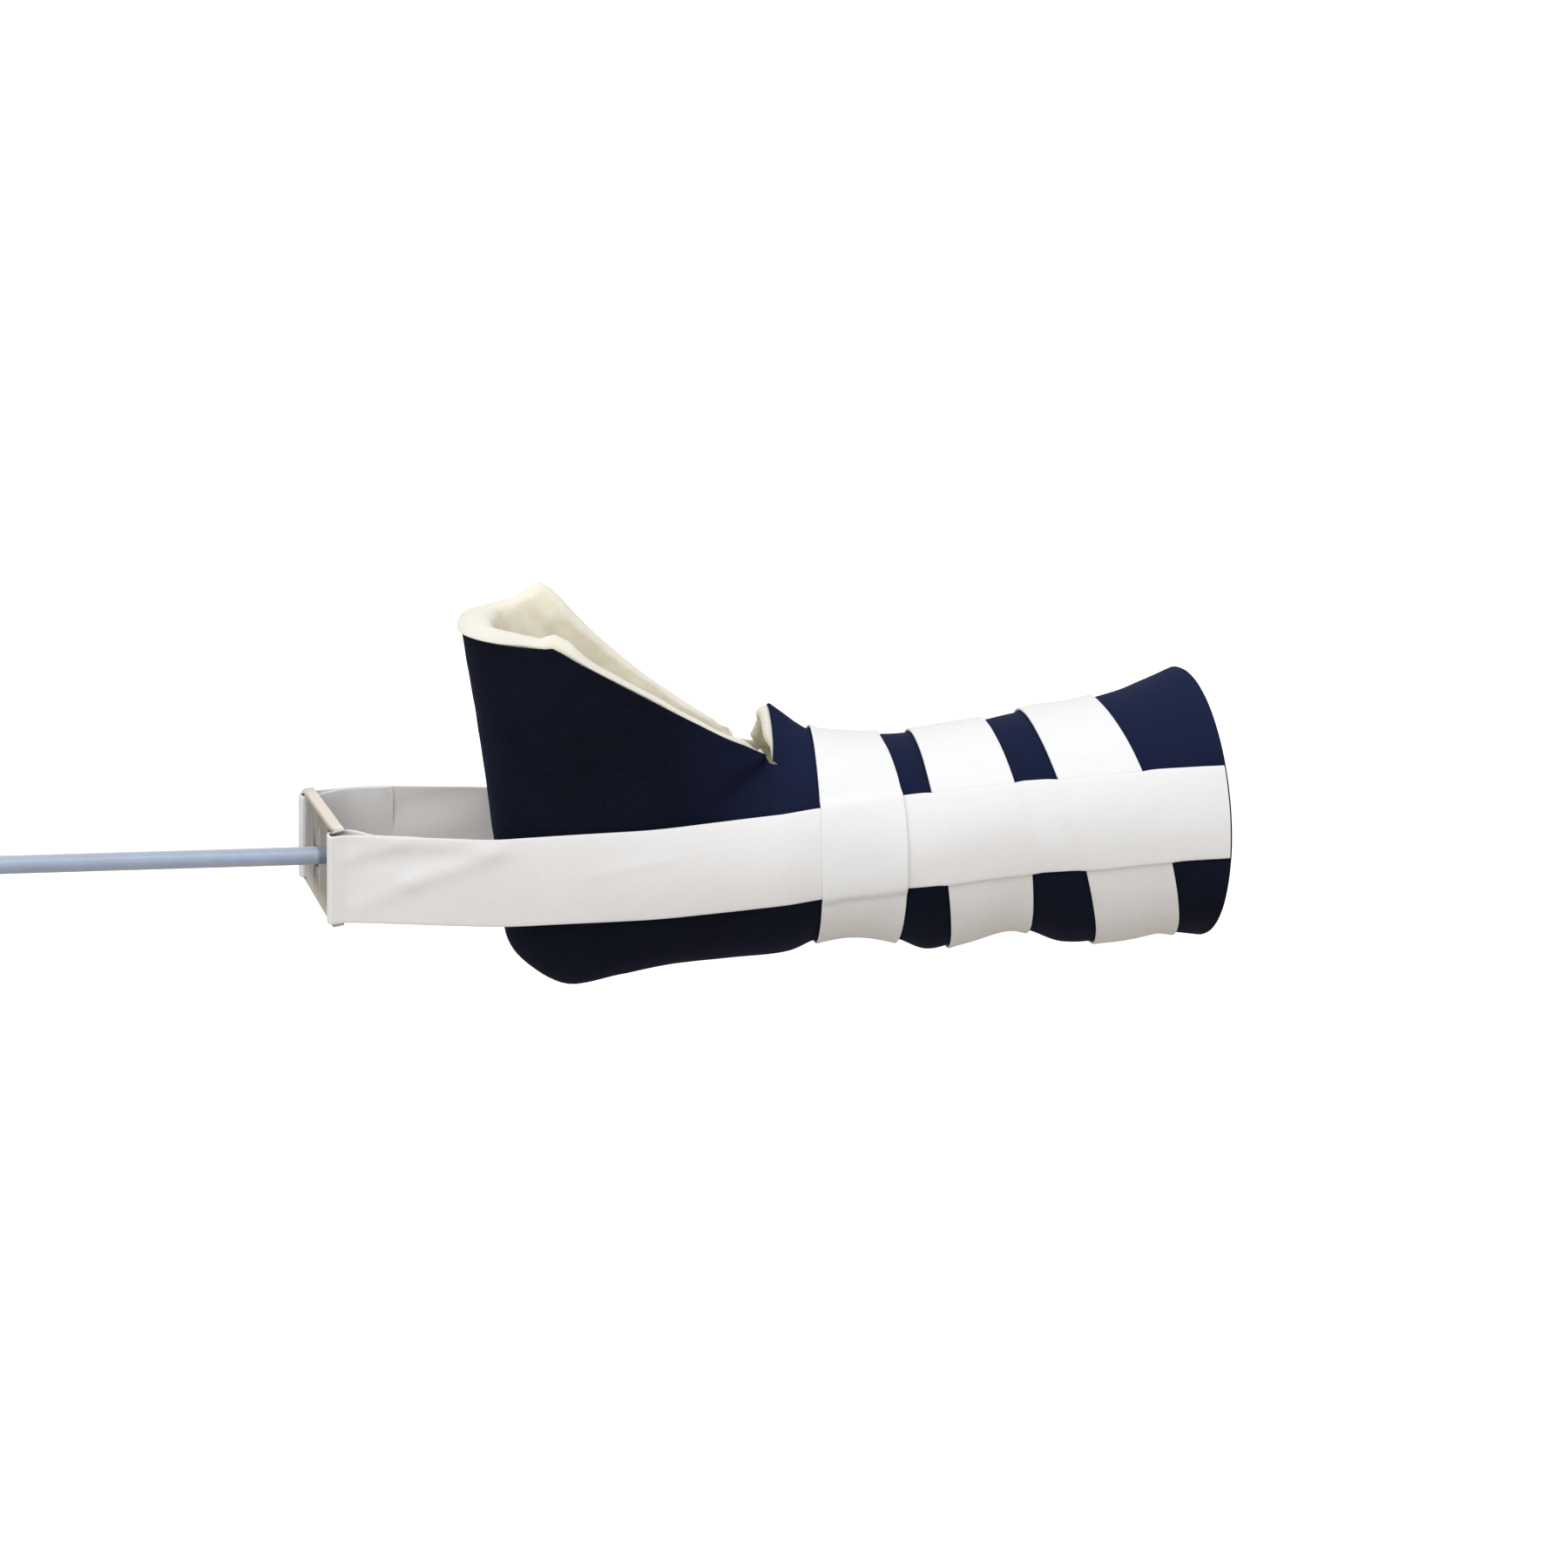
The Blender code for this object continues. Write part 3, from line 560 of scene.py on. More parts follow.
@dataclass(frozen=True)
class SheathFinish:
    """A cord in a close, glossy sheath, or the thread bound round it."""

    name: str
    core: Colour
    pale: Colour
    threads: float
    gloss: float

    def make(self, library: EffectLibrary) -> bpy.types.Material:
        """Build the material.

        Args:
            library: the shared node groups.

        Returns:
            The sheath: fine crossed threads under a clear, hard gloss, with a painted highlight that whitens
                its colour towards its outline.
        """
        made, bench, shader, place = start_material(self.name)
        flat = bench.add("ShaderNodeUVMap", uv_map="cloth").outputs[0]
        turned = bench.add("ShaderNodeMapping", {"Vector": flat, "Rotation": (0.0, 0.0, math.radians(45.0))})
        weave = library.place(
            bench, Effect.WEAVE, Vector=turned.outputs[0], Threads_per_metre=self.threads
        )
        marks = library.place(bench, Effect.HANDLING, Vector=place, Scale=40.0)
        tone = bench.maths("MULTIPLY", weave.outputs["Tone"], 0.6)
        shade = bench.maths("MULTIPLY_ADD", marks.outputs["Mottle"], 0.4, tone)
        # painted highlight: the colour is mixed to white where the surface turns away from view
        facing = bench.add("ShaderNodeLayerWeight", {"Blend": 0.35}).outputs["Facing"]
        sheen = bench.maths("POWER", facing, 1.6)
        colour = bench.mix(sheen, bench.mix(shade, self.core, self.pale), srgb(244, 247, 252))
        bump = bench.bump(weave.outputs["Height"], 0.00012, 0.35)
        bench.fill(shader, {"Base Color": colour, "Roughness": 0.42, "Normal": bump})
        bench.fill(shader, {"Coat Weight": self.gloss, "Coat Roughness": 0.16})
        return made


NAVY = ClothFinish(
    name="navy_brushed_cloth",
    deep=srgb(7, 8, 17),
    lit=srgb(15, 20, 41),
    # upper: a painted top light over the upper side
    upper=srgb(24, 33, 64),
    soiled=srgb(26, 30, 48),
    roughness=0.92,
    sheen=0.80,
    threads=2600.0,
    weave_depth=0.00003,
    nap_depth=0.00012,
)
STRAP_WHITE = ClothFinish(
    name="white_strap_cloth",
    deep=srgb(238, 237, 235),
    lit=srgb(246, 246, 246),
    # upper: a painted top light over the upper side
    upper=srgb(247, 247, 248),
    soiled=srgb(232, 229, 224),
    roughness=0.80,
    sheen=0.10,
    threads=2400.0,
    weave_depth=0.00003,
    nap_depth=0.00001,
)
SIDE_WHITE = ClothFinish(
    name="white_side_webbing",
    deep=srgb(236, 234, 232),
    lit=srgb(245, 244, 243),
    # upper: a painted top light over the upper side
    upper=srgb(246, 246, 246),
    soiled=srgb(230, 226, 221),
    roughness=0.76,
    sheen=0.10,
    threads=1900.0,
    weave_depth=0.00004,
    nap_depth=0.00001,
)
CREAM = FleeceFinish("cream_fleece_pile", srgb(246, 237, 216), srgb(253, 247, 233))
# the steel: a painted dark reflection, a painted pale reflection, and its rubbed wear
STEEL = SteelFinish("polished_steel", srgb(62, 69, 84), srgb(246, 247, 250), srgb(48, 53, 64), 0.0452)
CORD_SHEATH = SheathFinish("pale_cord_sheath", srgb(120, 138, 168), srgb(168, 182, 204), 1400.0, 1.0)
WHIPPING = SheathFinish("whipping_thread", srgb(176, 182, 192), srgb(214, 219, 226), 2400.0, 0.4)


# Gathering a piece from patches


def place_object(name: str, data: bpy.types.ID) -> bpy.types.Object:
    """Make an object for a mesh, a camera or a light, and put it into the scene."""
    made = bpy.data.objects.new(name, data)
    bpy.context.scene.collection.objects.link(made)
    return made


class Skin:
    """Collects the points and patches of one closed piece."""

    def __init__(self) -> None:
        """Start with nothing."""
        self.points: list[np.ndarray] = []
        self.quads: list[np.ndarray] = []
        self.flats: list[np.ndarray] = []
        self.count = 0

    def add(self, points: np.ndarray) -> np.ndarray:
        """Add points.

        Args:
            points: places, with x, y and z in the last axis.

        Returns:
            Their vertex numbers, in the same arrangement.
        """
        size = int(np.prod(points.shape[:-1]))
        index = np.arange(self.count, self.count + size).reshape(points.shape[:-1])
        self.points.append(points.reshape(-1, 3))
        self.count += size
        return index

    def patch(self, index: np.ndarray, flat: np.ndarray | None = None) -> None:
        """Cover a grid of vertices with quads.

        Args:
            index: vertex numbers, rows by columns; a repeated row or column closes it.
            flat: each grid point's place on the flat cloth, in metres.
        """
        spots = grid_quads(numbered(index.shape))
        places = np.zeros((index.size, 2)) if flat is None else flat.reshape(-1, 2)
        self.quads.append(index.ravel()[spots])
        self.flats.append(places[spots])

    def lid(self, ring: np.ndarray) -> None:
        """Close a ring of vertices with triangles to a new point in its middle.

        Args:
            ring: vertex numbers in order, without the first repeated.
        """
        every = np.concatenate(self.points)
        centre = self.add(every[ring].mean(axis=0)[None])[0]
        middle = np.full(ring.size, centre)
        self.quads.append(np.stack([ring, np.roll(ring, -1), middle, middle], axis=1))
        self.flats.append(np.zeros((ring.size, 4, 2)))

    def piece(
        self, name: str, material: bpy.types.Material, sharp_deg: float = 50.0
    ) -> bpy.types.Object:
        """Make a mesh object that rides on the boot, with its faces turned outwards.

        A face whose last two vertex numbers are the same is a triangle. The places on the flat
        cloth are kept as a UV map.

        Args:
            name: the object's name.
            material: its finish.
            sharp_deg: edges that turn further than this stay sharp.

        Returns:
            The finished object.
        """
        points = np.concatenate(self.points)
        quads = np.concatenate(self.quads)
        three = quads[:, 3] == quads[:, 2]
        counts = np.where(three, 3, 4)
        keep = np.ones(quads.shape, dtype=bool)
        keep[three, 3] = False
        corners = quads[keep]
        mesh = bpy.data.meshes.new(name)
        mesh.vertices.add(len(points))
        mesh.vertices.foreach_set("co", np.ascontiguousarray(points, dtype=np.float32).ravel())
        mesh.loops.add(len(corners))
        mesh.loops.foreach_set("vertex_index", corners.astype(np.int32))
        mesh.polygons.add(len(quads))
        mesh.polygons.foreach_set("loop_start", (np.cumsum(counts) - counts).astype(np.int32))
        mesh.update(calc_edges=True)
        layer = mesh.uv_layers.new(name="cloth")
        layer.data.foreach_set("uv", np.concatenate(self.flats)[keep].astype(np.float32).ravel())
        work = bmesh.new()
        work.from_mesh(mesh)
        loose = sum(1 for edge in work.edges if len(edge.link_faces) != 2)
        bmesh.ops.recalc_face_normals(work, faces=work.faces)
        work.to_mesh(mesh)
        work.free()
        mesh.shade_smooth()
        mesh.set_sharp_from_angle(angle=math.radians(sharp_deg))
        mesh.materials.append(material)
        made = place_object(name, mesh)
        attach(made, "root")
        LOG.info("%s: %d points, %d faces, %d open edges", name, len(points), len(quads), loose)
        return made


def distances(grid: np.ndarray, axis: int) -> np.ndarray:
    """How far each grid point lies from the first, measured along one axis of the grid.

    Args:
        grid: points, rows by columns.
        axis: the axis that is followed.

    Returns:
        The distances, rows by columns.
    """
    step = np.linalg.norm(np.diff(grid, axis=axis), axis=2)
    blank = np.zeros_like(np.take(step, [0], axis=axis))
    return np.concatenate([blank, np.cumsum(step, axis=axis)], axis=axis)


def flat_grid(grid: np.ndarray) -> np.ndarray:
    """Places on the flat cloth: the distance along each row, and the distance down each column."""
    across = distances(grid, 1)
    across = across - across[:, across.shape[1] // 2, None]
    return np.stack([across, distances(grid, 0)], axis=2)


def sweep(
    skin: Skin, path: np.ndarray, hint: np.ndarray, radius: np.ndarray, sides: int, closed: bool
) -> None:
    """Carry a circle along a path, square to it, and cover it.

    Args:
        skin: takes the points and faces.
        path: the path's points.
        hint: at each point, a direction that is turned square to the path for the circle's start.
        radius: the circle's radius at each point.
        sides: how many points the circle has.
        closed: joins the path's end to its start.
    """
    if closed:
        tangent = np.roll(path, -1, axis=0) - np.roll(path, 1, axis=0)
    else:
        tangent = np.gradient(path, axis=0)
    tangent = tangent / np.linalg.norm(tangent, axis=1, keepdims=True)
    first = hint - tangent * np.sum(hint * tangent, axis=1, keepdims=True)
    first = first / np.linalg.norm(first, axis=1, keepdims=True)
    second = np.cross(tangent, first)
    turn = np.arange(sides) * 2.0 * math.pi / sides
    spoke = np.cos(turn)[None, :, None] * first[:, None] + np.sin(turn)[None, :, None] * second[:, None]
    index = skin.add(path[:, None] + radius[:, None, None] * spoke)
    wide = np.concatenate([index, index[:, :1]], axis=1)
    run = run_along(path)
    if closed:
        wide = np.concatenate([wide, wide[:1]])
        run = np.append(run, run[-1] + np.linalg.norm(path[0] - path[-1]))
    around = np.arange(sides + 1) * 2.0 * math.pi * float(radius.mean()) / sides
    skin.patch(wide, np.stack(np.broadcast_arrays(around[None, :], run[:, None]), axis=2))
    if not closed:
        skin.lid(index[0])
        skin.lid(index[-1])


# The boot


@dataclass(frozen=True)
class BootForm:
    """The wrap's sizes and sections, as the part's own source has them."""

    cuff_x: float = 0.347
    collar_x: float = 0.090
    ankle_radius: float = 0.0645
    cuff_radius: float = 0.083
    collar_lift: float = 0.0215
    collar_back: float = 0.0088
    collar_peak: float = 0.43
    collar_spread: float = 0.5
    notch_drop: float = 0.0025
    notch_deg: float = 30.0
    notch_forward: float = 0.012
    far_notch_drop: float = 0.008
    heel_reach: float = 0.200
    foot_half_width: float = 0.051
    foot_rise: float = 0.0645
    toe_tip_deg: float = 7.2
    toe_tilt: float = 0.05
    shoulder: tuple[float, float] = (-0.030, 0.1423)
    far_shoulder: tuple[float, float] = (-0.036, 0.1405)
    far_rim_bow: float = 0.002
    far_toe_lift: float = 0.012
    ring_points: int = 36
    near_index: int = 3
    far_index: int = 32
    steps_around: int = 4
    steps_along: int = 8
    # along, side, top, under, lean in degrees
    leg_rows: tuple = (
        (0.000, 0.10, 0.00, 0.30, 0.0),
        (0.085, 0.00, -0.05, -0.05, -3.4),
        (0.280, 0.00, -0.35, 0.24, -2.5),
        (0.335, 0.10, -0.40, 0.70, 1.0),
        (0.390, 0.10, -0.38, 0.56, 5.4),
        (0.560, 0.12, -0.20, 0.36, 5.0),
        (0.620, 0.25, -0.12, 0.90, 9.0),
        (0.700, 0.45, -0.02, 0.98, 13.5),
        (0.840, 0.62, 0.15, 0.80, 11.6),
        (0.910, 0.80, 0.45, 0.90, 5.0),
        (1.000, 1.00, 1.00, 1.08, 0.0),
    )
    # turn in degrees, reach, narrowing, square
    heel_rows: tuple = (
        (14.0, 0.683, 0.08, 2.0),
        (27.0, 0.742, 0.28, 2.1),
        (38.0, 0.859, 0.52, 2.2),
        (46.0, 0.983, 0.74, 2.3),
        (51.5, 1.005, 0.86, 2.4),
        (57.0, 1.003, 0.93, 2.5),
        (64.0, 0.945, 0.98, 2.7),
        (75.0, 0.872, 1.00, 2.9),
    )
    # rise, reach, square
    foot_rows: tuple = (
        (0.00, 0.842, 3.0),
        (0.18, 0.845, 3.0),
        (0.38, 0.849, 3.0),
        (0.58, 0.854, 3.0),
        (0.79, 0.860, 3.0),
        (1.00, 0.866, 3.0),
    )

    @property
    def notch_z(self) -> float:
        """Height of the notch between the collar and the foot's rim."""
        return self.ankle_radius - self.notch_drop

    @property
    def open_points(self) -> int:
        """How many points a section that is open at the front has."""
        return (self.far_index - self.near_index) * self.steps_around + 1

    def leg_rings(self) -> np.ndarray:
        """Closed rings from the cuff to the collar: a circle whose top, sides and underside grow apart.

        Returns:
            The rings' points, rings by points.
        """
        along, side, top, under, lean = (column[:, None] for column in np.array(self.leg_rows)[::-1].T)
        angle = np.radians(np.arange(self.ring_points) * 360.0 / self.ring_points - 180.0)[None]
        growth = self.cuff_radius - self.ankle_radius
        upright = self.ankle_radius + np.where(np.cos(angle) > 0.0, under, top) * growth
        y = (self.ankle_radius + side * growth) * np.sin(angle)
        z = -upright * np.cos(angle)
        x = self.collar_x + along * (self.cuff_x - self.collar_x) - z * np.tan(np.radians(lean))
        rings = np.stack([x, y, z], axis=2)
        order = np.arange(self.ring_points)
        front = (order < self.near_index) | (order > self.far_index)
        past = self.near_index - order
        over = np.where(order <= self.near_index, past, past + self.ring_points)
        across = over / (self.near_index + self.ring_points - self.far_index)
        peak = np.clip(1.0 - np.abs(across - self.collar_peak) / self.collar_spread, 0.0, 1.0)
        rings[-1, front, 0] -= self.notch_forward * across[front]
        rings[-1, front, 0] += self.collar_back * np.sin(math.pi * np.clip(across[front], 0.0, 1.0)) ** 0.8
        rings[-1, front, 2] += self.collar_lift * peak[front]
        rings[-2, front, 2] += 0.16 * self.collar_lift * peak[front]
        spare = np.concatenate([rings[:, -2:], rings, rings[:, :3]], axis=1)
        fine = refine(spare.transpose(1, 0, 2), np.arange(spare.shape[1], dtype=float), self.steps_around)
        start = 2 * self.steps_around
        return fine[start : start + self.ring_points * self.steps_around].transpose(1, 0, 2)

    def section(
        self,
        base_z: float,
        turn: float,
        reach: float,
        half_width: float,
        square: float,
        near: float,
        far: float,
    ) -> tuple[np.ndarray, np.ndarray]:
        """One open section: a squared oval from the near edge round the back to the far edge.

        Args:
            base_z: height of the point that it fans out from.
            turn: its angle from the leg's own sections.
            reach: how far its back lies from that point.
            half_width: half its width.
            square: the exponent that squares its corners.
            near: how far from that point it starts.
            far: how far from that point it ends.

        Returns:
            Its points, evenly spaced, and how far each lies out.
        """
        front = self.ankle_radius - self.notch_z
        middle = (reach - front) / 2.0
        half_length = (reach + front) / 2.0
        ends = (middle - np.array([near, far])) / half_length
        first, last = np.arccos(-signed_power(ends, square / 2.0))
        angle = np.linspace(-first, last, 900)
        y = half_width * signed_power(np.sin(angle), 2.0 / square)
        away = middle + half_length * signed_power(np.cos(angle), 2.0 / square)
        run = np.concatenate([[0.0], np.cumsum(np.hypot(np.diff(y), np.diff(away)))])
        even = np.linspace(0.0, run[-1], self.open_points)
        y = np.interp(even, run, y)
        away = np.interp(even, run, away)
        x = self.collar_x - away * math.sin(turn)
        z = base_z - away * math.cos(turn)
        return np.stack([x, y, z], axis=1), away

    def forward_share(self, away: np.ndarray, end: float, reach: float) -> np.ndarray:
        """How far a point follows the far notch: 1 at the far edge, 0 at the back.

        Args:
            away: how far each point lies out.
            end: how far the far edge lies out.
            reach: how far the back lies out.

        Returns:
            The shares.
        """
        side = np.linspace(0.0, 1.0, away.size)
        return side**2 * np.clip(1.0 - (away - end) / (reach - end), 0.0, 1.0) ** 2

    def rim(self, rise: float, tip: float, shoulder: tuple, notch: tuple) -> float:
        """Where a foot section meets the straight rim from the notch to the shoulder.

        Args:
            rise: the section's height over the notch.
            tip: how far the section is tipped.
            shoulder: the rim's upper end, x and z.
            notch: the rim's lower end, x and z.

        Returns:
            Its distance from the section's start.
        """
        slope = (shoulder[1] - notch[1]) / (notch[0] - shoulder[0])
        start = self.notch_z + rise - notch[1] + slope * (self.collar_x - notch[0])
        return start / (slope - math.tan(tip)) / math.cos(tip)

    def open_sections(self) -> np.ndarray:
        """Sections round the heel, fanned about the notch, and up the foot's trough.

        Returns:
            The sections' points, sections by points.
        """
        rows = []
        notch = self.notch_z - self.ankle_radius * math.cos(math.radians(self.notch_deg))
        notch_x = self.collar_x - self.ankle_radius + self.notch_z
        near_notch = (notch_x, self.notch_z)
        far_notch = (notch_x - self.notch_forward, self.notch_z - self.far_notch_drop)
        first_near = self.rim(0.0, 0.0, self.shoulder, near_notch)
        first_far = self.rim(0.0, 0.0, self.far_shoulder, far_notch)
        for turn, reach, narrowing, square in self.heel_rows:
            width = self.ankle_radius + narrowing * (self.foot_half_width - self.ankle_radius)
            out = reach * self.heel_reach
            near = notch + (first_near - notch) * turn / 90.0
            onward = float(smooth_step(np.array((turn - 50.0) / 35.0)))
            far = notch + (first_far - notch) * onward
            row, away = self.section(self.notch_z, math.radians(turn), out, width, square, near, far)
            row[:, 0] -= self.notch_forward * (1.0 - onward) * self.forward_share(away, far, out)
            rows.append(row)
        for share, reach, square in self.foot_rows:
            rise = share * self.foot_rise
            tip = math.radians(self.toe_tip_deg) * share
            out = reach * self.heel_reach
            near = self.rim(rise, tip, self.shoulder, near_notch)
            far = self.rim(rise, tip, self.far_shoulder, far_notch)
            far += self.far_rim_bow * 4.0 * share * (1.0 - share)
            row, away = self.section(
                self.notch_z + rise, math.pi / 2.0 + tip, out, self.foot_half_width, square, near, far
            )
            row[:, 2] += self.far_toe_lift * share**4 * self.forward_share(away, far, out)
            row[:, 2] += self.toe_tilt * share**2 * row[:, 1]
            rows.append(row)
        return np.array(rows)


EASE_REACH = 0.030
EASE_PULL = 0.8
EASE_PASSES = 70


@dataclass(frozen=True)
class EdgeRoll:
    """How a free edge is rounded: its height, its reach over what lies outside, its turn upwards."""

    bulge: np.ndarray
    overhang: np.ndarray
    upright: np.ndarray


class WrapSurface:
    """The wrap's outer surface: one patch from cuff to toes, and one over the front of the leg."""

    def __init__(self, form: BootForm) -> None:
        """Work out both patches, their normals and their free edges.

        Args:
            form: the sizes and sections.
        """
        self.form = form
        near = form.near_index * form.steps_around
        far = form.far_index * form.steps_around
        rings = form.leg_rings()
        shared = np.concatenate([rings[:, near : far + 1], form.open_sections()])
        step = np.linalg.norm(np.diff(shared, axis=0), axis=2).mean(axis=1)
        run = np.concatenate([[0.0], np.cumsum(step)])
        self.collar_row = (len(rings) - 1) * form.steps_along
        past_heel = self.collar_row + (len(form.heel_rows) + 1) * form.steps_along
        self.notch_rows = slice(self.collar_row, past_heel, 3)
        self.body = self.eased(refine(shared, run, form.steps_along))
        over = np.concatenate([rings[:, far:], rings[:, : near + 1]], axis=1)
        leg_run = run[: len(rings)]
        slopes = slopes_of(shared, run)[len(rings) - 1]
        own = slopes_of(over, leg_run)[-1]
        place = np.linspace(0.0, 1.0, over.shape[1])[:, None]
        ends = slopes[-1] * (1.0 - place) + slopes[0] * place
        inner = smooth_step(np.minimum(place, 1.0 - place) / 0.25)
        self.front = refine(over, leg_run, form.steps_along, ends + (own - ends) * inner)
        self.points, self.body_index, self.front_index = self.joined()
        quads = np.concatenate([grid_quads(self.body_index), grid_quads(self.front_index)])
        normals = vertex_normals(self.points, quads)
        middle = self.points[self.body_index[self.collar_row // 2]]
        outward = np.sum(normals[self.body_index[self.collar_row // 2]] * (middle * (0.0, 1.0, 1.0)))
        self.normals = normals if outward > 0.0 else -normals
        self.cuff_loop, self.cuff_inner = self.cuff()
        self.rim_loop, self.rim_inner = self.opening()

    def joined(self) -> tuple[np.ndarray, np.ndarray, np.ndarray]:
        """Number the points, with the columns that both patches share counted once.

        Returns:
            The points, the body's vertex numbers and the front's.
        """
        inner = self.front[:, 1:-1]
        body = numbered(self.body.shape[:2])
        front = numbered(inner.shape[:2], body.size)
        rows = len(front)
        wide = np.concatenate([body[:rows, -1:], front, body[:rows, :1]], axis=1)
        return np.concatenate([self.body.reshape(-1, 3), inner.reshape(-1, 3)]), body, wide

    def cuff(self) -> tuple[np.ndarray, np.ndarray]:
        """The cuff's edge and the row next to it, as vertex numbers in order."""
        rows = [np.concatenate([self.body_index[row], self.front_index[row, 1:-1]]) for row in (0, 1)]
        return rows[0], rows[1]

    def opening(self) -> tuple[np.ndarray, np.ndarray]:
        """The edge round the foot's opening: near rim, toes, far rim and collar.

        Returns:
            The edge's vertex numbers in order, and those next to them inside the surface.
        """
        body, front, row = self.body_index, self.front_index, self.collar_row
        edge = [body[row:-1, 0], body[-1, :-1], body[:row:-1, -1], front[row, :-1]]
        inside = [body[row:-1, 1], body[-2, :-1], body[:row:-1, -2], front[row - 1, :-1]]
        inside[0] = np.concatenate([front[row - 1, -1:], inside[0][1:]])
        inside[1] = np.concatenate([body[-2, 1:2], inside[1][1:]])
        inside[2] = np.concatenate([body[-2, -2:-1], inside[2][1:]])
        return np.concatenate(edge), np.concatenate(inside)

    def eased(self, grid: np.ndarray) -> np.ndarray:
        """The body with its folds at both notches smoothed: each point moves to its neighbours' mean.

        Args:
            grid: the body's points, rows by columns.

        Returns:
            The smoother points.
        """
        notches = grid[self.notch_rows][:, [0, -1]].reshape(-1, 3)
        off = np.linalg.norm(grid[:, :, None] - notches, axis=3).min(axis=2)
        pull = (1.0 - smooth_step(off / EASE_REACH))[:, :, None] * EASE_PULL
        pull[0] = pull[-1] = 0.0
        for _ in range(EASE_PASSES):
            wide = np.pad(grid, ((1, 1), (1, 1), (0, 0)), mode="edge")
            across = (wide[1:-1, :-2] + wide[1:-1, 2:]) / 2.0
            across[:, [0, -1]] = grid[:, [0, -1]]
            along = (wide[:-2, 1:-1] + wide[2:, 1:-1]) / 2.0
            grid = grid + ((across + along) / 2.0 - grid) * pull
        return grid

    def notch_share(self, reach: float) -> np.ndarray:
        """How far each point is clear of both notches: 0 in one of them, 1 past some distance.

        Args:
            reach: that distance.

        Returns:
            The shares.
        """
        notches = self.body[self.notch_rows][:, [0, -1]].reshape(-1, 3)
        off = np.linalg.norm(self.points[:, None] - notches[None], axis=2).min(axis=1)
        return smooth_step(off / reach)

    def toe_share(self, rows: int) -> np.ndarray:
        """How near each point is to the toes' edge: 1 on it, 0 some rows below.

        Args:
            rows: how many rows of the body it takes to fade.

        Returns:
            The shares.
        """
        count = len(self.body_index)
        share = np.zeros(len(self.points))
        up = smooth_step((np.arange(count) - (count - 1 - rows)) / rows)
        share[self.body_index] = up[:, None]
        return share

    def away_from(
        self, points: np.ndarray, edge: np.ndarray, inside: np.ndarray, passes: int
    ) -> np.ndarray:
        """Directions out past a free edge, square to the surface and evened out along it.

        Args:
            points: the surface's points.
            edge: the edge's vertex numbers.
            inside: those next to them.
            passes: how often each is averaged with its neighbours.

        Returns:
            A unit direction at each point of the edge.
        """
        way = points[edge] - points[inside]
        normal = self.normals[edge]
        for _ in range(passes + 1):
            way = way - normal * np.sum(way * normal, axis=1, keepdims=True)
            way = way / np.linalg.norm(way, axis=1, keepdims=True)
            way = way + 0.5 * (np.roll(way, 1, axis=0) + np.roll(way, -1, axis=0))
        return way / np.linalg.norm(way, axis=1, keepdims=True)

    def wall(
        self,
        name: str,
        outer: np.ndarray,
        inner: np.ndarray,
        rolls: tuple[EdgeRoll, EdgeRoll],
        material: bpy.types.Material,
    ) -> bpy.types.Object:
        """A closed wall between two surfaces, with rounded free edges.

        Each edge is closed by half an oval from the outer surface to the inner one. A roll that
        hangs over adds a bell over the oval's outer quarter, out along the surface's normals.

        Args:
            name: the object's name.
            outer: the outer surface's points, numbered as the surface is.
            inner: the inner surface's points, numbered the same way.
            rolls: the shape of the cuff's edge and of the opening's edge.
            material: its finish.

        Returns:
            The finished object.
        """
        skin = Skin()
        top = skin.add(outer)
        under = skin.add(inner)
        for side, places in ((top, outer), (under, inner)):
            skin.patch(side[self.body_index], flat_grid(places[self.body_index]))
            skin.patch(side[self.front_index], flat_grid(places[self.front_index]))
        loops = ((self.cuff_loop, self.cuff_inner), (self.rim_loop, self.rim_inner))
        for (edge, inside), roll in zip(loops, rolls):
            out = self.away_from(outer, edge, inside, 4)
            out = out + (np.array([-0.25, 0.0, 0.97]) - out) * roll.upright[edge, None]
            out = out * roll.bulge[edge, None]
            over = self.normals[edge] * roll.overhang[edge, None]
            turn = np.linspace(0.0, math.pi, 20)[1:-1, None, None]
            bell = np.sin(np.minimum(turn, math.pi / 2.0) * 2.0) ** 2
            middle = (outer[edge] + inner[edge]) / 2.0
            half = (outer[edge] - inner[edge]) / 2.0
            cap = middle[None] + half[None] * np.cos(turn) + out[None] * np.sin(turn) + over[None] * bell
            index = np.concatenate([top[edge][None], skin.add(cap), under[edge][None]])
            index = np.concatenate([index, index[:, :1]], axis=1)
            places = np.concatenate([outer[edge][None], cap, inner[edge][None]])
            places = np.concatenate([places, places[:, :1]], axis=1)
            skin.patch(index, flat_grid(places))
        return skin.piece(name, material, 75.0)


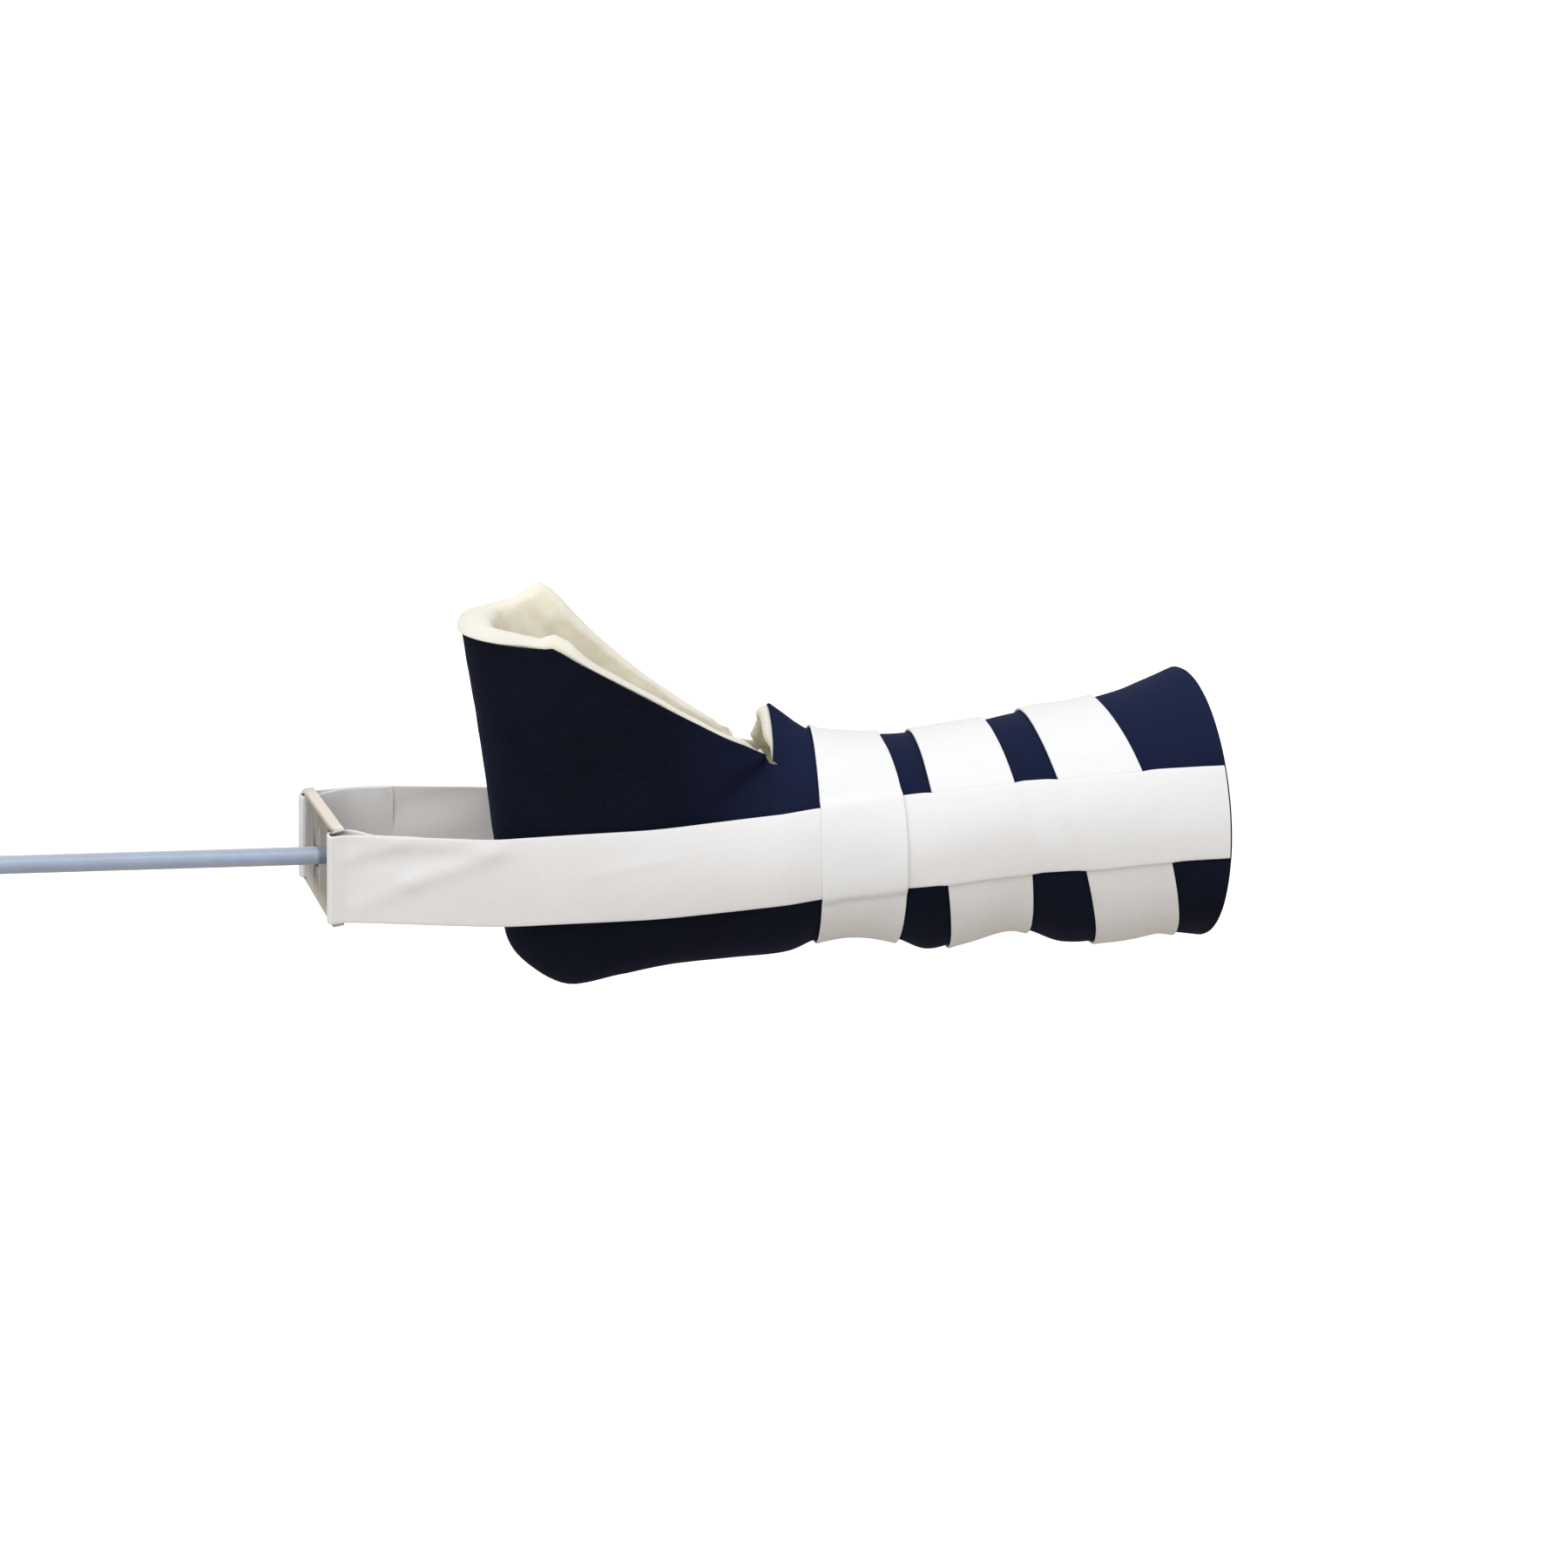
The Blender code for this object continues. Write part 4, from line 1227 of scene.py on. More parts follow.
@dataclass
class Boot:
    """The cloth shell and the fleece lining inside it."""

    surface: WrapSurface
    shell_wall: float = 0.002
    lining_wall: float = 0.009
    clearance: float = 0.0005
    fleece_bulge: float = 0.0042
    toe_bulge: float = 0.0022
    toe_pad: float = 0.0065
    toe_overhang: float = 0.0066
    cuff_bulge: float = 0.0008
    shell_bulge: float = 0.0012
    notch_reach: float = 0.018
    near_notch_fill: float = 0.0012
    far_notch_fill: float = 0.0048
    notch_wall_share: float = 0.35
    toe_rows: int = 24
    corner_reach: float = 0.028

    def shell_points(self) -> np.ndarray:
        """The shell's outer surface: the plain form with soft wrinkles along its normals.

        Returns:
            Its points.
        """
        plain = self.surface.points
        broad = 0.00035 * waves(plain, 0.045, 3)
        small = 0.00012 * waves(plain, 0.014, 5)
        return plain + self.surface.normals * (broad + small)[:, None]

    def build_shell(self, material: bpy.types.Material) -> None:
        """Build the cloth shell."""
        outer = self.shell_points()
        inner = outer - self.surface.normals * self.shell_wall
        clear = self.surface.notch_share(self.notch_reach)
        none = np.zeros(clear.size)
        roll = EdgeRoll(self.shell_bulge * (0.3 + 0.7 * clear), none, none)
        made = self.surface.wall("wrap_shell", outer, inner, (roll, roll), material)
        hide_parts("boot_shell")

    def build_lining(self, material: bpy.types.Material) -> None:
        """Build the fleece lining, lumpy on its inner side and puffed at its edges."""
        start = self.shell_wall + self.clearance
        plain = self.surface.points
        clear = self.surface.notch_share(self.notch_reach)
        outer = plain - self.surface.normals * start
        toes = self.surface.toe_share(self.toe_rows)
        lumps = 0.0007 * waves(plain, 0.022, 11) + 0.00035 * waves(plain, 0.008, 12)
        wall = self.lining_wall * (self.notch_wall_share + (1.0 - self.notch_wall_share) * clear)
        depth = start + wall + self.toe_pad * toes - lumps * clear
        inner = plain - self.surface.normals * depth[:, None]
        fill = np.where(plain[:, 1] > 0.0, self.far_notch_fill, self.near_notch_fill)
        bulge = fill + (self.fleece_bulge + self.toe_bulge * toes - fill) * clear
        corners = self.surface.body[-1, [0, -1]]
        off = np.linalg.norm(plain[:, None] - corners[None], axis=2).min(axis=1)
        overhang = self.toe_overhang * toes * smooth_step(off / self.corner_reach)
        opening = EdgeRoll(bulge, overhang, 1.0 - clear)
        none = np.zeros(clear.size)
        cuff = EdgeRoll(none + self.cuff_bulge, none, none)
        made = self.surface.wall("fleece_lining", outer, inner, (cuff, opening), material)
        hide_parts("boot_lining")


# Straps


def thicken(grid: np.ndarray, times: int) -> np.ndarray:
    """A grid with points added halfway between its neighbours, both ways.

    Args:
        grid: points, rows by columns.
        times: how often it is halved.

    Returns:
        The finer grid.
    """
    for _ in range(times):
        for axis in (0, 1):
            turned = np.moveaxis(grid, axis, 0)
            wide = np.repeat(turned, 2, axis=0)[:-1]
            wide[1::2] = (turned[:-1] + turned[1:]) / 2.0
            grid = np.moveaxis(wide, 0, axis)
    return grid


FACE_STEPS = 30


def webbing_profile(width: float, wall: float) -> tuple[np.ndarray, np.ndarray]:
    """The outline of a strap that is cut across: flat faces with half-round edges.

    Args:
        width: the strap's width.
        wall: its thickness.

    Returns:
        Each outline point's place across the strap and its height over the strap's middle.
    """
    edge = wall / 2.0
    flat = width / 2.0 - edge
    run = np.linspace(-flat, flat, FACE_STEPS + 1)
    turn = np.linspace(0.0, math.pi, 7)[1:-1]
    place = np.concatenate([run, flat + edge * np.sin(turn), run[::-1], -flat - edge * np.sin(turn)])
    height = np.concatenate([np.full(run.size, edge), edge * np.cos(turn)])
    return place, np.concatenate([height, -height])


def strap_skin(points: np.ndarray, across: np.ndarray, run: np.ndarray) -> Skin:
    """Cover a strap's surface and close its ends, where it has any.

    An end is closed by joining the upper face's points to the lower face's.

    Args:
        points: the strap's points, along it by round its outline.
        across: each outline point's place across the strap.
        run: each row's place along the strap; one place more than there are rows makes a ring.

    Returns:
        The strap's skin.
    """
    skin = Skin()
    index = skin.add(points)
    ring = len(run) > len(index)
    wide = np.concatenate([index, index[:1]]) if ring else index
    wide = np.concatenate([wide, wide[:, :1]], axis=1)
    places = np.append(across, across[0])
    skin.patch(wide, np.stack(np.broadcast_arrays(places[None], run[:, None]), axis=2))
    if ring:
        return skin
    count = index.shape[1]
    upper = np.arange(FACE_STEPS + 1)
    lower = (upper[::-1] + count // 2) % count
    edges = (np.arange(FACE_STEPS, count // 2 + 1), np.arange(count // 2 + FACE_STEPS, count + 1) % count)
    for row in (index[0], index[-1]):
        skin.patch(np.stack([row[upper], row[lower]]))
        for edge in edges:
            skin.lid(row[edge])
    return skin


@dataclass(frozen=True)
class LegStrap:
    """A strap round the leg, laid on what is under it and lapped over its own end."""

    name: str
    node: str
    place: float
    lean_deg: float
    width: float = 0.050
    wall: float = 0.0019
    pinch: float = 0.0
    sway: float = 0.0
    drawn_deg: float = 45.0
    lap_deg: tuple[float, float] = (14.0, 60.0)
    lap_gap: float = 0.0002
    wave_height: float = 0.00018
    wave_length: float = 0.030
    clearance: float = 0.0004
    points_around: int = 360

    def laid(
        self, ground: HeightMap, form: BootForm, angle_deg: np.ndarray, lift: np.ndarray
    ) -> np.ndarray:
        """Points of the strap: the ground's radius plus a height, along directions that lean.

        Small waves then move each point in or out along its own radius.

        Args:
            ground: radius over x and the angle round the leg.
            form: the boot's sizes.
            angle_deg: angles round the leg, from the front over the near side.
            lift: the height of each outline point over the ground.

        Returns:
            The points, angles by outline.
        """
        across, _ = webbing_profile(self.width, self.wall)
        lean = math.tan(math.radians(self.lean_deg))
        angle = np.radians(angle_deg)[:, None]
        drawn_in = np.exp(-(((180.0 - np.abs(angle_deg)) / self.drawn_deg) ** 2))[:, None]
        place = across[None] * (1.0 - self.pinch * drawn_in) - self.sway * drawn_in
        middle = form.collar_x + self.place * (form.cuff_x - form.collar_x)
        radius = np.full(place.shape, form.ankle_radius)
        for _ in range(4):
            x = middle + place + lean * np.cos(angle) * radius
            radius = ground.at(x, np.broadcast_to(angle_deg[:, None], x.shape))
        out = radius + lift
        x = middle + place + lean * np.cos(angle) * out
        points = np.stack([x, out * np.sin(angle), -out * np.cos(angle)], axis=2)
        spoke = points * (0.0, 1.0, 1.0)
        spoke = spoke / np.linalg.norm(spoke, axis=2, keepdims=True)
        slack = self.wave_height * waves(points, self.wave_length, int(self.place * 1000))
        return points + spoke * slack[:, :, None]

    def lap(self, ground: HeightMap, form: BootForm, material: bpy.types.Material) -> bpy.types.Object:
        """Build the strap's free end, pressed down on the band on the far side of the leg.

        Args:
            ground: what the band lies on.
            form: the boot's sizes.
            material: its finish.

        Returns:
            The end piece, thinned towards both of its ends.
        """
        angle = np.linspace(*self.lap_deg, 60)
        across, height = webbing_profile(self.width, self.wall)
        rounding = np.minimum(angle - self.lap_deg[0], self.lap_deg[1] - angle)
        thick = 0.25 + 0.75 * smooth_step(rounding / 3.0)[:, None]
        base = self.clearance + self.wall + self.lap_gap + self.wall * thick / 2.0
        points = self.laid(ground, form, angle, base + height[None] * thick)
        skin = strap_skin(points, across, np.radians(angle) * form.ankle_radius)
        made = skin.piece(f"{self.name}_lap", material)
        return made

    def build(self, ground: HeightMap, form: BootForm, material: bpy.types.Material) -> bpy.types.Object:
        """Build the strap as a closed band with its end lapped over it.

        Args:
            ground: what it lies on.
            form: the boot's sizes.
            material: its finish.

        Returns:
            The strap.
        """
        angle = np.arange(self.points_around + 1) * 360.0 / self.points_around - 180.0
        across, height = webbing_profile(self.width, self.wall)
        lift = self.clearance + self.wall / 2.0 + height[None] + np.zeros((self.points_around, 1))
        points = self.laid(ground, form, angle[:-1], lift)
        made = strap_skin(points, across, np.radians(angle) * form.ankle_radius).piece(self.name, material)
        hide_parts(self.node)
        lap = self.lap(ground, form, material)
        return made


@dataclass(frozen=True)
class Crease:
    """A soft ridge or furrow pressed into a side strap, from one place to another."""

    start: tuple[float, float]
    end: tuple[float, float]
    width: float
    height: float

    def lift(self, x: np.ndarray, z: np.ndarray) -> np.ndarray:
        """Height of the crease: a bell over the distance from its line.

        Args:
            x: places along the boot.
            z: heights.

        Returns:
            How far the cloth is lifted there.
        """
        start = np.array(self.start)
        line = np.array(self.end) - start
        share = ((x - start[0]) * line[0] + (z - start[1]) * line[1]) / (line @ line)
        share = np.clip(share, 0.0, 1.0)
        off = np.hypot(x - start[0] - share * line[0], z - start[1] - share * line[1])
        return self.height * np.exp(-((off / self.width) ** 2))


@dataclass(frozen=True)
class PlateForm:
    """The spreader plate's sizes and place."""

    x: float = -0.1845
    z: float = 0.0172
    width: float = 0.102
    turn_deg: float = 20.0
    lean: float = 0.15
    wall: float = 0.002
    lip: float = 0.006
    post: float = 0.007
    slot: float = 0.005
    hole: float = 0.0125

    def point(self, across: np.ndarray, out: np.ndarray, height: np.ndarray) -> np.ndarray:
        """Points in the plate's own frame, turned about the upright and leant.

        Args:
            across: towards the far side.
            out: towards the cord.
            height: up from the plate's middle.

        Returns:
            Their places.
        """
        turn = math.radians(self.turn_deg)
        across, out, height = np.broadcast_arrays(across, out, height)
        x = self.x - across * math.sin(turn) - out * math.cos(turn) + height * self.lean
        y = across * math.cos(turn) - out * math.sin(turn)
        return np.stack([x, y, self.z + height], axis=-1)


TAUT_PASSES = 6000


@dataclass(frozen=True)
class SideStrap:
    """A strap down one side of the boot, round the plate's post and sewn back on itself."""

    name: str
    node: str
    side: float
    creases: tuple[Crease, ...]
    width: float = 0.053
    wall: float = 0.0016
    clearance: float = 0.0005
    end_x: float = 0.3465
    level_x: float = -0.080
    tail: float = 0.046
    fold_stand: float = 0.0004
    tail_gap: float = 0.0002
    sag: float = 0.030
    leaves_past_collar: float = 0.0135
    steps: int = 190
    tail_steps: int = 21
    wave_height: float = 0.00012
    wave_length: float = 0.040
    # where, height over the plate's middle as a share of the width
    height_rows: tuple = (
        (0.038, 0.000),
        (0.208, -0.200),
        (0.380, -0.236),
        (0.557, -0.160),
        (0.780, -0.075),
        (1.000, -0.005),
    )

    def height(self, x: np.ndarray, form: BootForm, plate: PlateForm) -> np.ndarray:
        """Height of the strap's middle: straight lines between the table's rows, rounded off.

        Args:
            x: places along the boot.
            form: the boot's sizes.
            plate: the plate's sizes.

        Returns:
            The heights.
        """
        where, share = np.array(self.height_rows).T
        reach = np.linspace(-0.012, 0.012, 7)
        places = (x[..., None] + reach - plate.x) / (form.cuff_x - plate.x)
        return plate.z + self.width * np.interp(places, where, share).mean(axis=-1)

    def loop(self, plate: PlateForm) -> np.ndarray:
        """The path round the plate's post: in along its end, half a turn, and back through the slot.

        Args:
            plate: the plate's sizes.

        Returns:
            The path's points, at the plate's middle height.
        """
        room = self.clearance + self.wall / 2.0
        half = plate.width / 2.0
        reach = plate.post / 2.0 + room
        middle = half - plate.post / 2.0
        turn = np.linspace(0.0, math.pi, 19)
        across = np.concatenate([[half + room], middle + reach * np.cos(turn), [middle - reach]])
        out = plate.wall / 2.0 + self.fold_stand + room * np.sin(turn)
        out = np.concatenate([[-plate.lip], out, [-plate.lip]])
        return plate.point(self.side * across, out, np.zeros(out.size))

    def sheet_line(
        self, ground: HeightMap, form: BootForm, plate: PlateForm
    ) -> tuple[np.ndarray, np.ndarray]:
        """The strap's middle surface, from the cuff to its sewn end, and how high its creases stand.

        Where the strap leaves the boot it is pulled taut: a point is never nearer in than
        the mean of its neighbours.

        Args:
            ground: the height of what it lies on, over x and z.
            form: the boot's sizes.
            plate: the plate's sizes.

        Returns:
            The surface's points, along the strap by outline, and the creases' heights.
        """
        place, _ = webbing_profile(self.width, self.wall)
        loop = self.loop(plate)
        x = np.linspace(self.end_x, loop[0, 0], self.steps)
        z = self.height(x, form, plate)[:, None] + place[None]
        wide_x = np.broadcast_to(x[:, None], z.shape)
        out = ground.at(wide_x, z) + self.clearance + self.wall / 2.0
        foot = np.flatnonzero(x < form.collar_x + self.leaves_past_collar)[0]
        out[-1] = abs(loop[0, 1])
        straight = np.linspace(0.0, 1.0, x.size - foot)[:, None]
        out[foot:] = np.maximum(out[foot:], out[foot] * (1.0 - straight) + out[-1] * straight - self.sag)
        for _ in range(TAUT_PASSES):
            mean = (out[foot:-2] + out[foot + 2 :]) / 2.0
            out[foot + 1 : -1] = np.maximum(out[foot + 1 : -1], mean)
        lift = sum(crease.lift(wide_x, z) for crease in self.creases)
        fade = np.clip((self.level_x - x) / (self.level_x - x[-1]), 0.0, 1.0)
        shift = plate.lean * fade[:, None] * place[None]
        body = np.stack([wide_x + shift, self.side * out, z], axis=2)
        rise = np.stack([plate.lean * place, 0.0 * place, place], axis=1)
        fold = loop[1:, None, :] + rise[None]
        run = np.linspace(0.0, 1.0, self.tail_steps + 1)[1:]
        tail_x = fold[-1, :, 0][None] + run[:, None] * self.tail
        lanes = zip(tail_x.T, body[::-1, :, 0].T, np.abs(body[::-1, :, 1]).T)
        outer_y = np.stack([np.interp(*lane) for lane in lanes], axis=1)
        ending = smooth_step((run - 0.80) / 0.20)[:, None]
        sewn = outer_y - self.wall * (1.0 - 0.36 * ending) - self.tail_gap
        blend = smooth_step(run * 2.2)[:, None]
        tail_y = np.abs(fold[-1, :, 1])[None] * (1.0 - blend) + sewn * blend
        tail_z = self.height(tail_x, form, plate) + place[None]
        tail_z = fold[-1, :, 2][None] * (1.0 - blend) + tail_z * blend
        tail = np.stack([tail_x, self.side * tail_y, tail_z], axis=2)
        lines = np.concatenate([body, fold, tail])
        lifts = np.concatenate([lift, np.zeros((len(fold) + len(tail), place.size))])
        return lines, lifts

    def build(
        self, ground: HeightMap, form: BootForm, plate: PlateForm, material: bpy.types.Material
    ) -> bpy.types.Object:
        """Build the strap.

        Args:
            ground: the height of what it lies on, over x and z.
            form: the boot's sizes.
            plate: the plate's sizes.
            material: its finish.

        Returns:
            The strap.
        """
        place, height = webbing_profile(self.width, self.wall)
        lines, lifts = self.sheet_line(ground, form, plate)
        along = np.gradient(lines, axis=0)
        normal = np.stack([-along[:, :, 1], along[:, :, 0], 0.0 * along[:, :, 0]], axis=2)
        normal /= np.linalg.norm(normal, axis=2, keepdims=True)
        normal *= np.sign(normal[:1, :, 1:2] * self.side)
        slack = self.wave_height * waves(lines, self.wave_length, 21)
        rows = np.arange(len(lines))
        thick = 1.0 - 0.72 * smooth_step((rows - (rows[-1] - 4.0)) / 4.0)[:, None]
        points = lines + normal * (height[None] * thick + lifts + slack)[:, :, None]
        run = run_along(lines[:, FACE_STEPS // 2])
        made = strap_skin(points, place, run).piece(self.name, material)
        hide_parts(self.node)
        return made


@dataclass
class Harness:
    """All the straps, laid one on another in their order."""

    boot: Boot
    plate: PlateForm

    def around_leg(self, pieces: list[np.ndarray]) -> HeightMap:
        """Radius over x and the angle round the leg.

        Args:
            pieces: clouds of points that lie under the strap.

        Returns:
            The settled map.
        """
        ground = HeightMap((0.085, -200.0), (0.356, 200.0), (0.001, 1.2))
        for points in pieces:
            flat = points.reshape(-1, 3)
            angle = np.degrees(np.arctan2(flat[:, 1], -flat[:, 2]))
            angle = np.where(angle > 180.0, angle - 360.0, angle)
            radius = np.hypot(flat[:, 1], flat[:, 2])
            for turn in (-360.0, 0.0, 360.0):
                ground.lay(flat[:, 0], angle + turn, radius)
        return ground.settle(4, 1, 3)

    def beside_boot(self, pieces: list[np.ndarray], side: float) -> HeightMap:
        """How far out one side of the boot reaches, over x and z.

        Args:
            pieces: clouds of points that lie under the strap.
            side: -1 for the near side, 1 for the far side.

        Returns:
            The settled map.
        """
        ground = HeightMap((-0.100, -0.060), (0.356, 0.090), (0.002, 0.002))
        for points in pieces:
            flat = points.reshape(-1, 3)
            flat = flat[flat[:, 1] * side > 0.0]
            ground.lay(flat[:, 0], flat[:, 2], np.abs(flat[:, 1]))
        return ground.settle(4, 1, 3)

    def build(self, white: bpy.types.Material, side_white: bpy.types.Material) -> None:
        """Build the five straps.

        Args:
            white: the leg straps' finish.
            side_white: the side straps' finish.
        """
        surface = self.boot.surface
        form = surface.form
        shell = self.boot.shell_points()
        cloud = [thicken(shell[index], 2) for index in (surface.body_index, surface.front_index)]
        under = list(cloud)
        for name, node, place, lean in (
            ("calf_strap_lower", "lower_calf_strap", 0.459, 5.4),
            ("calf_strap_upper", "upper_calf_strap", 0.766, 13.0),
        ):
            strap = LegStrap(name, node, place, lean, pinch=0.08, sway=0.001)
            under.append(self.cloud_of(strap.build(self.around_leg(cloud), form, white)))
        sides = []
        for strap in (
            SideStrap("side_strap_near", "near_side_strap", -1.0, NEAR_CREASES),
            SideStrap("side_strap_far", "far_side_strap", 1.0, FAR_CREASES),
        ):
            ground = self.beside_boot(under, strap.side)
            sides.append(self.cloud_of(strap.build(ground, form, self.plate, side_white)))
        ankle = LegStrap("ankle_strap_cloth", "ankle_strap", 0.182, -3.4, pinch=0.14, sway=0.0032)
        ankle.build(self.around_leg(cloud + sides), form, white)

    @staticmethod
    def cloud_of(item: bpy.types.Object) -> np.ndarray:
        """The middles of a piece's faces and its points, for laying the next strap on it."""
        mesh = item.data
        points = np.empty(len(mesh.vertices) * 3, dtype=np.float32)
        mesh.vertices.foreach_get("co", points)
        middles = np.empty(len(mesh.polygons) * 3, dtype=np.float32)
        mesh.polygons.foreach_get("center", middles)
        return np.concatenate([points, middles]).reshape(-1, 3).astype(float)


NEAR_CREASES = (
    Crease((-0.160, 0.029), (-0.128, 0.036), 0.0050, 0.0008),
    Crease((-0.128, 0.036), (-0.075, 0.027), 0.0050, 0.0007),
    Crease((-0.124, 0.012), (-0.070, 0.027), 0.0058, 0.0013),
    Crease((-0.152, 0.000), (-0.124, 0.012), 0.0064, 0.0008),
    Crease((-0.146, 0.026), (-0.092, 0.026), 0.0075, -0.0009),
    Crease((-0.020, 0.0085), (0.024, 0.0145), 0.0032, 0.0004),
)
FAR_CREASES = (
    Crease((-0.190, 0.020), (-0.100, 0.032), 0.0080, 0.0010),
    Crease((-0.170, 0.006), (-0.095, 0.012), 0.0080, -0.0008),
)


# Hardware


@dataclass
class SpreaderPlate:
    """The pressed steel plate that the side straps hang on."""

    form: PlateForm
    strap_width: float = 0.053
    clearance: float = 0.0005
    edge: float = 0.0004

    def profile(self) -> np.ndarray:
        """The plate's outline seen from its end: a flat web with a lip turned in at the top and foot.

        Returns:
            Points of out and height, in order, with rounded outer bends.
        """
        high = self.strap_width / 2.0 + self.clearance + self.form.wall
        wall = self.form.wall
        bend = 0.0016
        turn = np.linspace(0.0, math.pi / 2.0, 6)
        web = wall / 2.0
        upper_out = np.stack([web - bend + bend * np.cos(turn), high - bend + bend * np.sin(turn)], axis=1)
        lip = self.form.lip
        upper_in = np.array([(-lip, high), (-lip, high - wall), (-web, high - wall)])
        upper = np.concatenate([upper_out, upper_in])
        lower = upper[::-1] * (1.0, -1.0)
        return np.concatenate([upper, lower])

    def build(self, material: bpy.types.Material) -> None:
        """Build the plate, cut its slots and its cord hole, and break its edges."""
        outline = self.profile()
        half = self.form.width / 2.0
        reach = np.linspace(-half, half, 9)
        grid = self.form.point(reach[:, None], outline[None, :, 0], outline[None, :, 1])
        index = numbered(grid.shape[:2])
        sides = grid_quads(np.concatenate([index, index[:, :1]], axis=1))
        faces = [*sides.tolist(), index[0].tolist(), index[-1].tolist()]
        blank = self.solid("plate_blank", grid.reshape(-1, 3), faces)
        cutters = self.cutters()
        for cutter in cutters:
            step = blank.modifiers.new(cutter.name, "BOOLEAN")
            step.operation = "DIFFERENCE"
            step.solver = "EXACT"
            step.object = cutter
        bevel = blank.modifiers.new("broken_edges", "BEVEL")
        bevel.width = self.edge
        bevel.segments = 2
        bevel.limit_method = "ANGLE"
        bevel.angle_limit = math.radians(35.0)
        bevelled = blank.evaluated_get(bpy.context.evaluated_depsgraph_get())
        shape = bpy.data.meshes.new_from_object(bevelled)
        for spare in (blank, *cutters):
            bpy.data.objects.remove(spare, do_unlink=True)
        shape.name = "steel_plate"
        shape.materials.clear()
        shape.materials.append(material)
        shape.shade_smooth()
        shape.set_sharp_from_angle(angle=math.radians(28.0))
        made = place_object("steel_plate", shape)
        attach(made, "root")
        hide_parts("spreader_plate")
        LOG.info("steel_plate: %d faces", len(shape.polygons))

    def cutters(self) -> list[bpy.types.Object]:
        """The bodies that cut the two slots and the hole for the cord."""
        form = self.form
        half = form.width / 2.0
        high = self.strap_width / 2.0 + self.clearance
        made = []
        for name, side in (("near", -1.0), ("far", 1.0)):
            across = side * np.array([half - form.post, half - form.post - form.slot])
            out = np.array([-2.0, 2.0]) * form.wall
            height = np.array([-high, high])
            corners = form.point(across[:, None, None], out[None, :, None], height[None, None])
            faces = [(0, 1, 3, 2), (4, 6, 7, 5), (0, 4, 5, 1), (2, 3, 7, 6), (0, 2, 6, 4), (1, 5, 7, 3)]
            made.append(self.solid(f"slot_{name}", corners.reshape(-1, 3), faces))
        turn = np.arange(40) * 2.0 * math.pi / 40
        radius = form.hole / 2.0
        rings = [form.point(radius * np.cos(turn), out, radius * np.sin(turn)) for out in (-0.004, 0.004)]
        walls = [(k, (k + 1) % 40, (k + 1) % 40 + 40, k + 40) for k in range(40)]
        caps = [tuple(range(40)), tuple(range(40, 80))]
        made.append(self.solid("cord_hole", np.concatenate(rings), walls + caps))
        return made

    @staticmethod
    def solid(name: str, points: np.ndarray, faces: list) -> bpy.types.Object:
        """A closed body, to cut or to cut with.

        Args:
            name: its name.
            points: its corners.
            faces: vertex numbers of each face.

        Returns:
            The object.
        """
        mesh = bpy.data.meshes.new(name)
        mesh.from_pydata([tuple(point) for point in points], [], faces)
        work = bmesh.new()
        work.from_mesh(mesh)
        bmesh.ops.recalc_face_normals(work, faces=work.faces)
        work.to_mesh(mesh)
        work.free()
        return place_object(name, mesh)


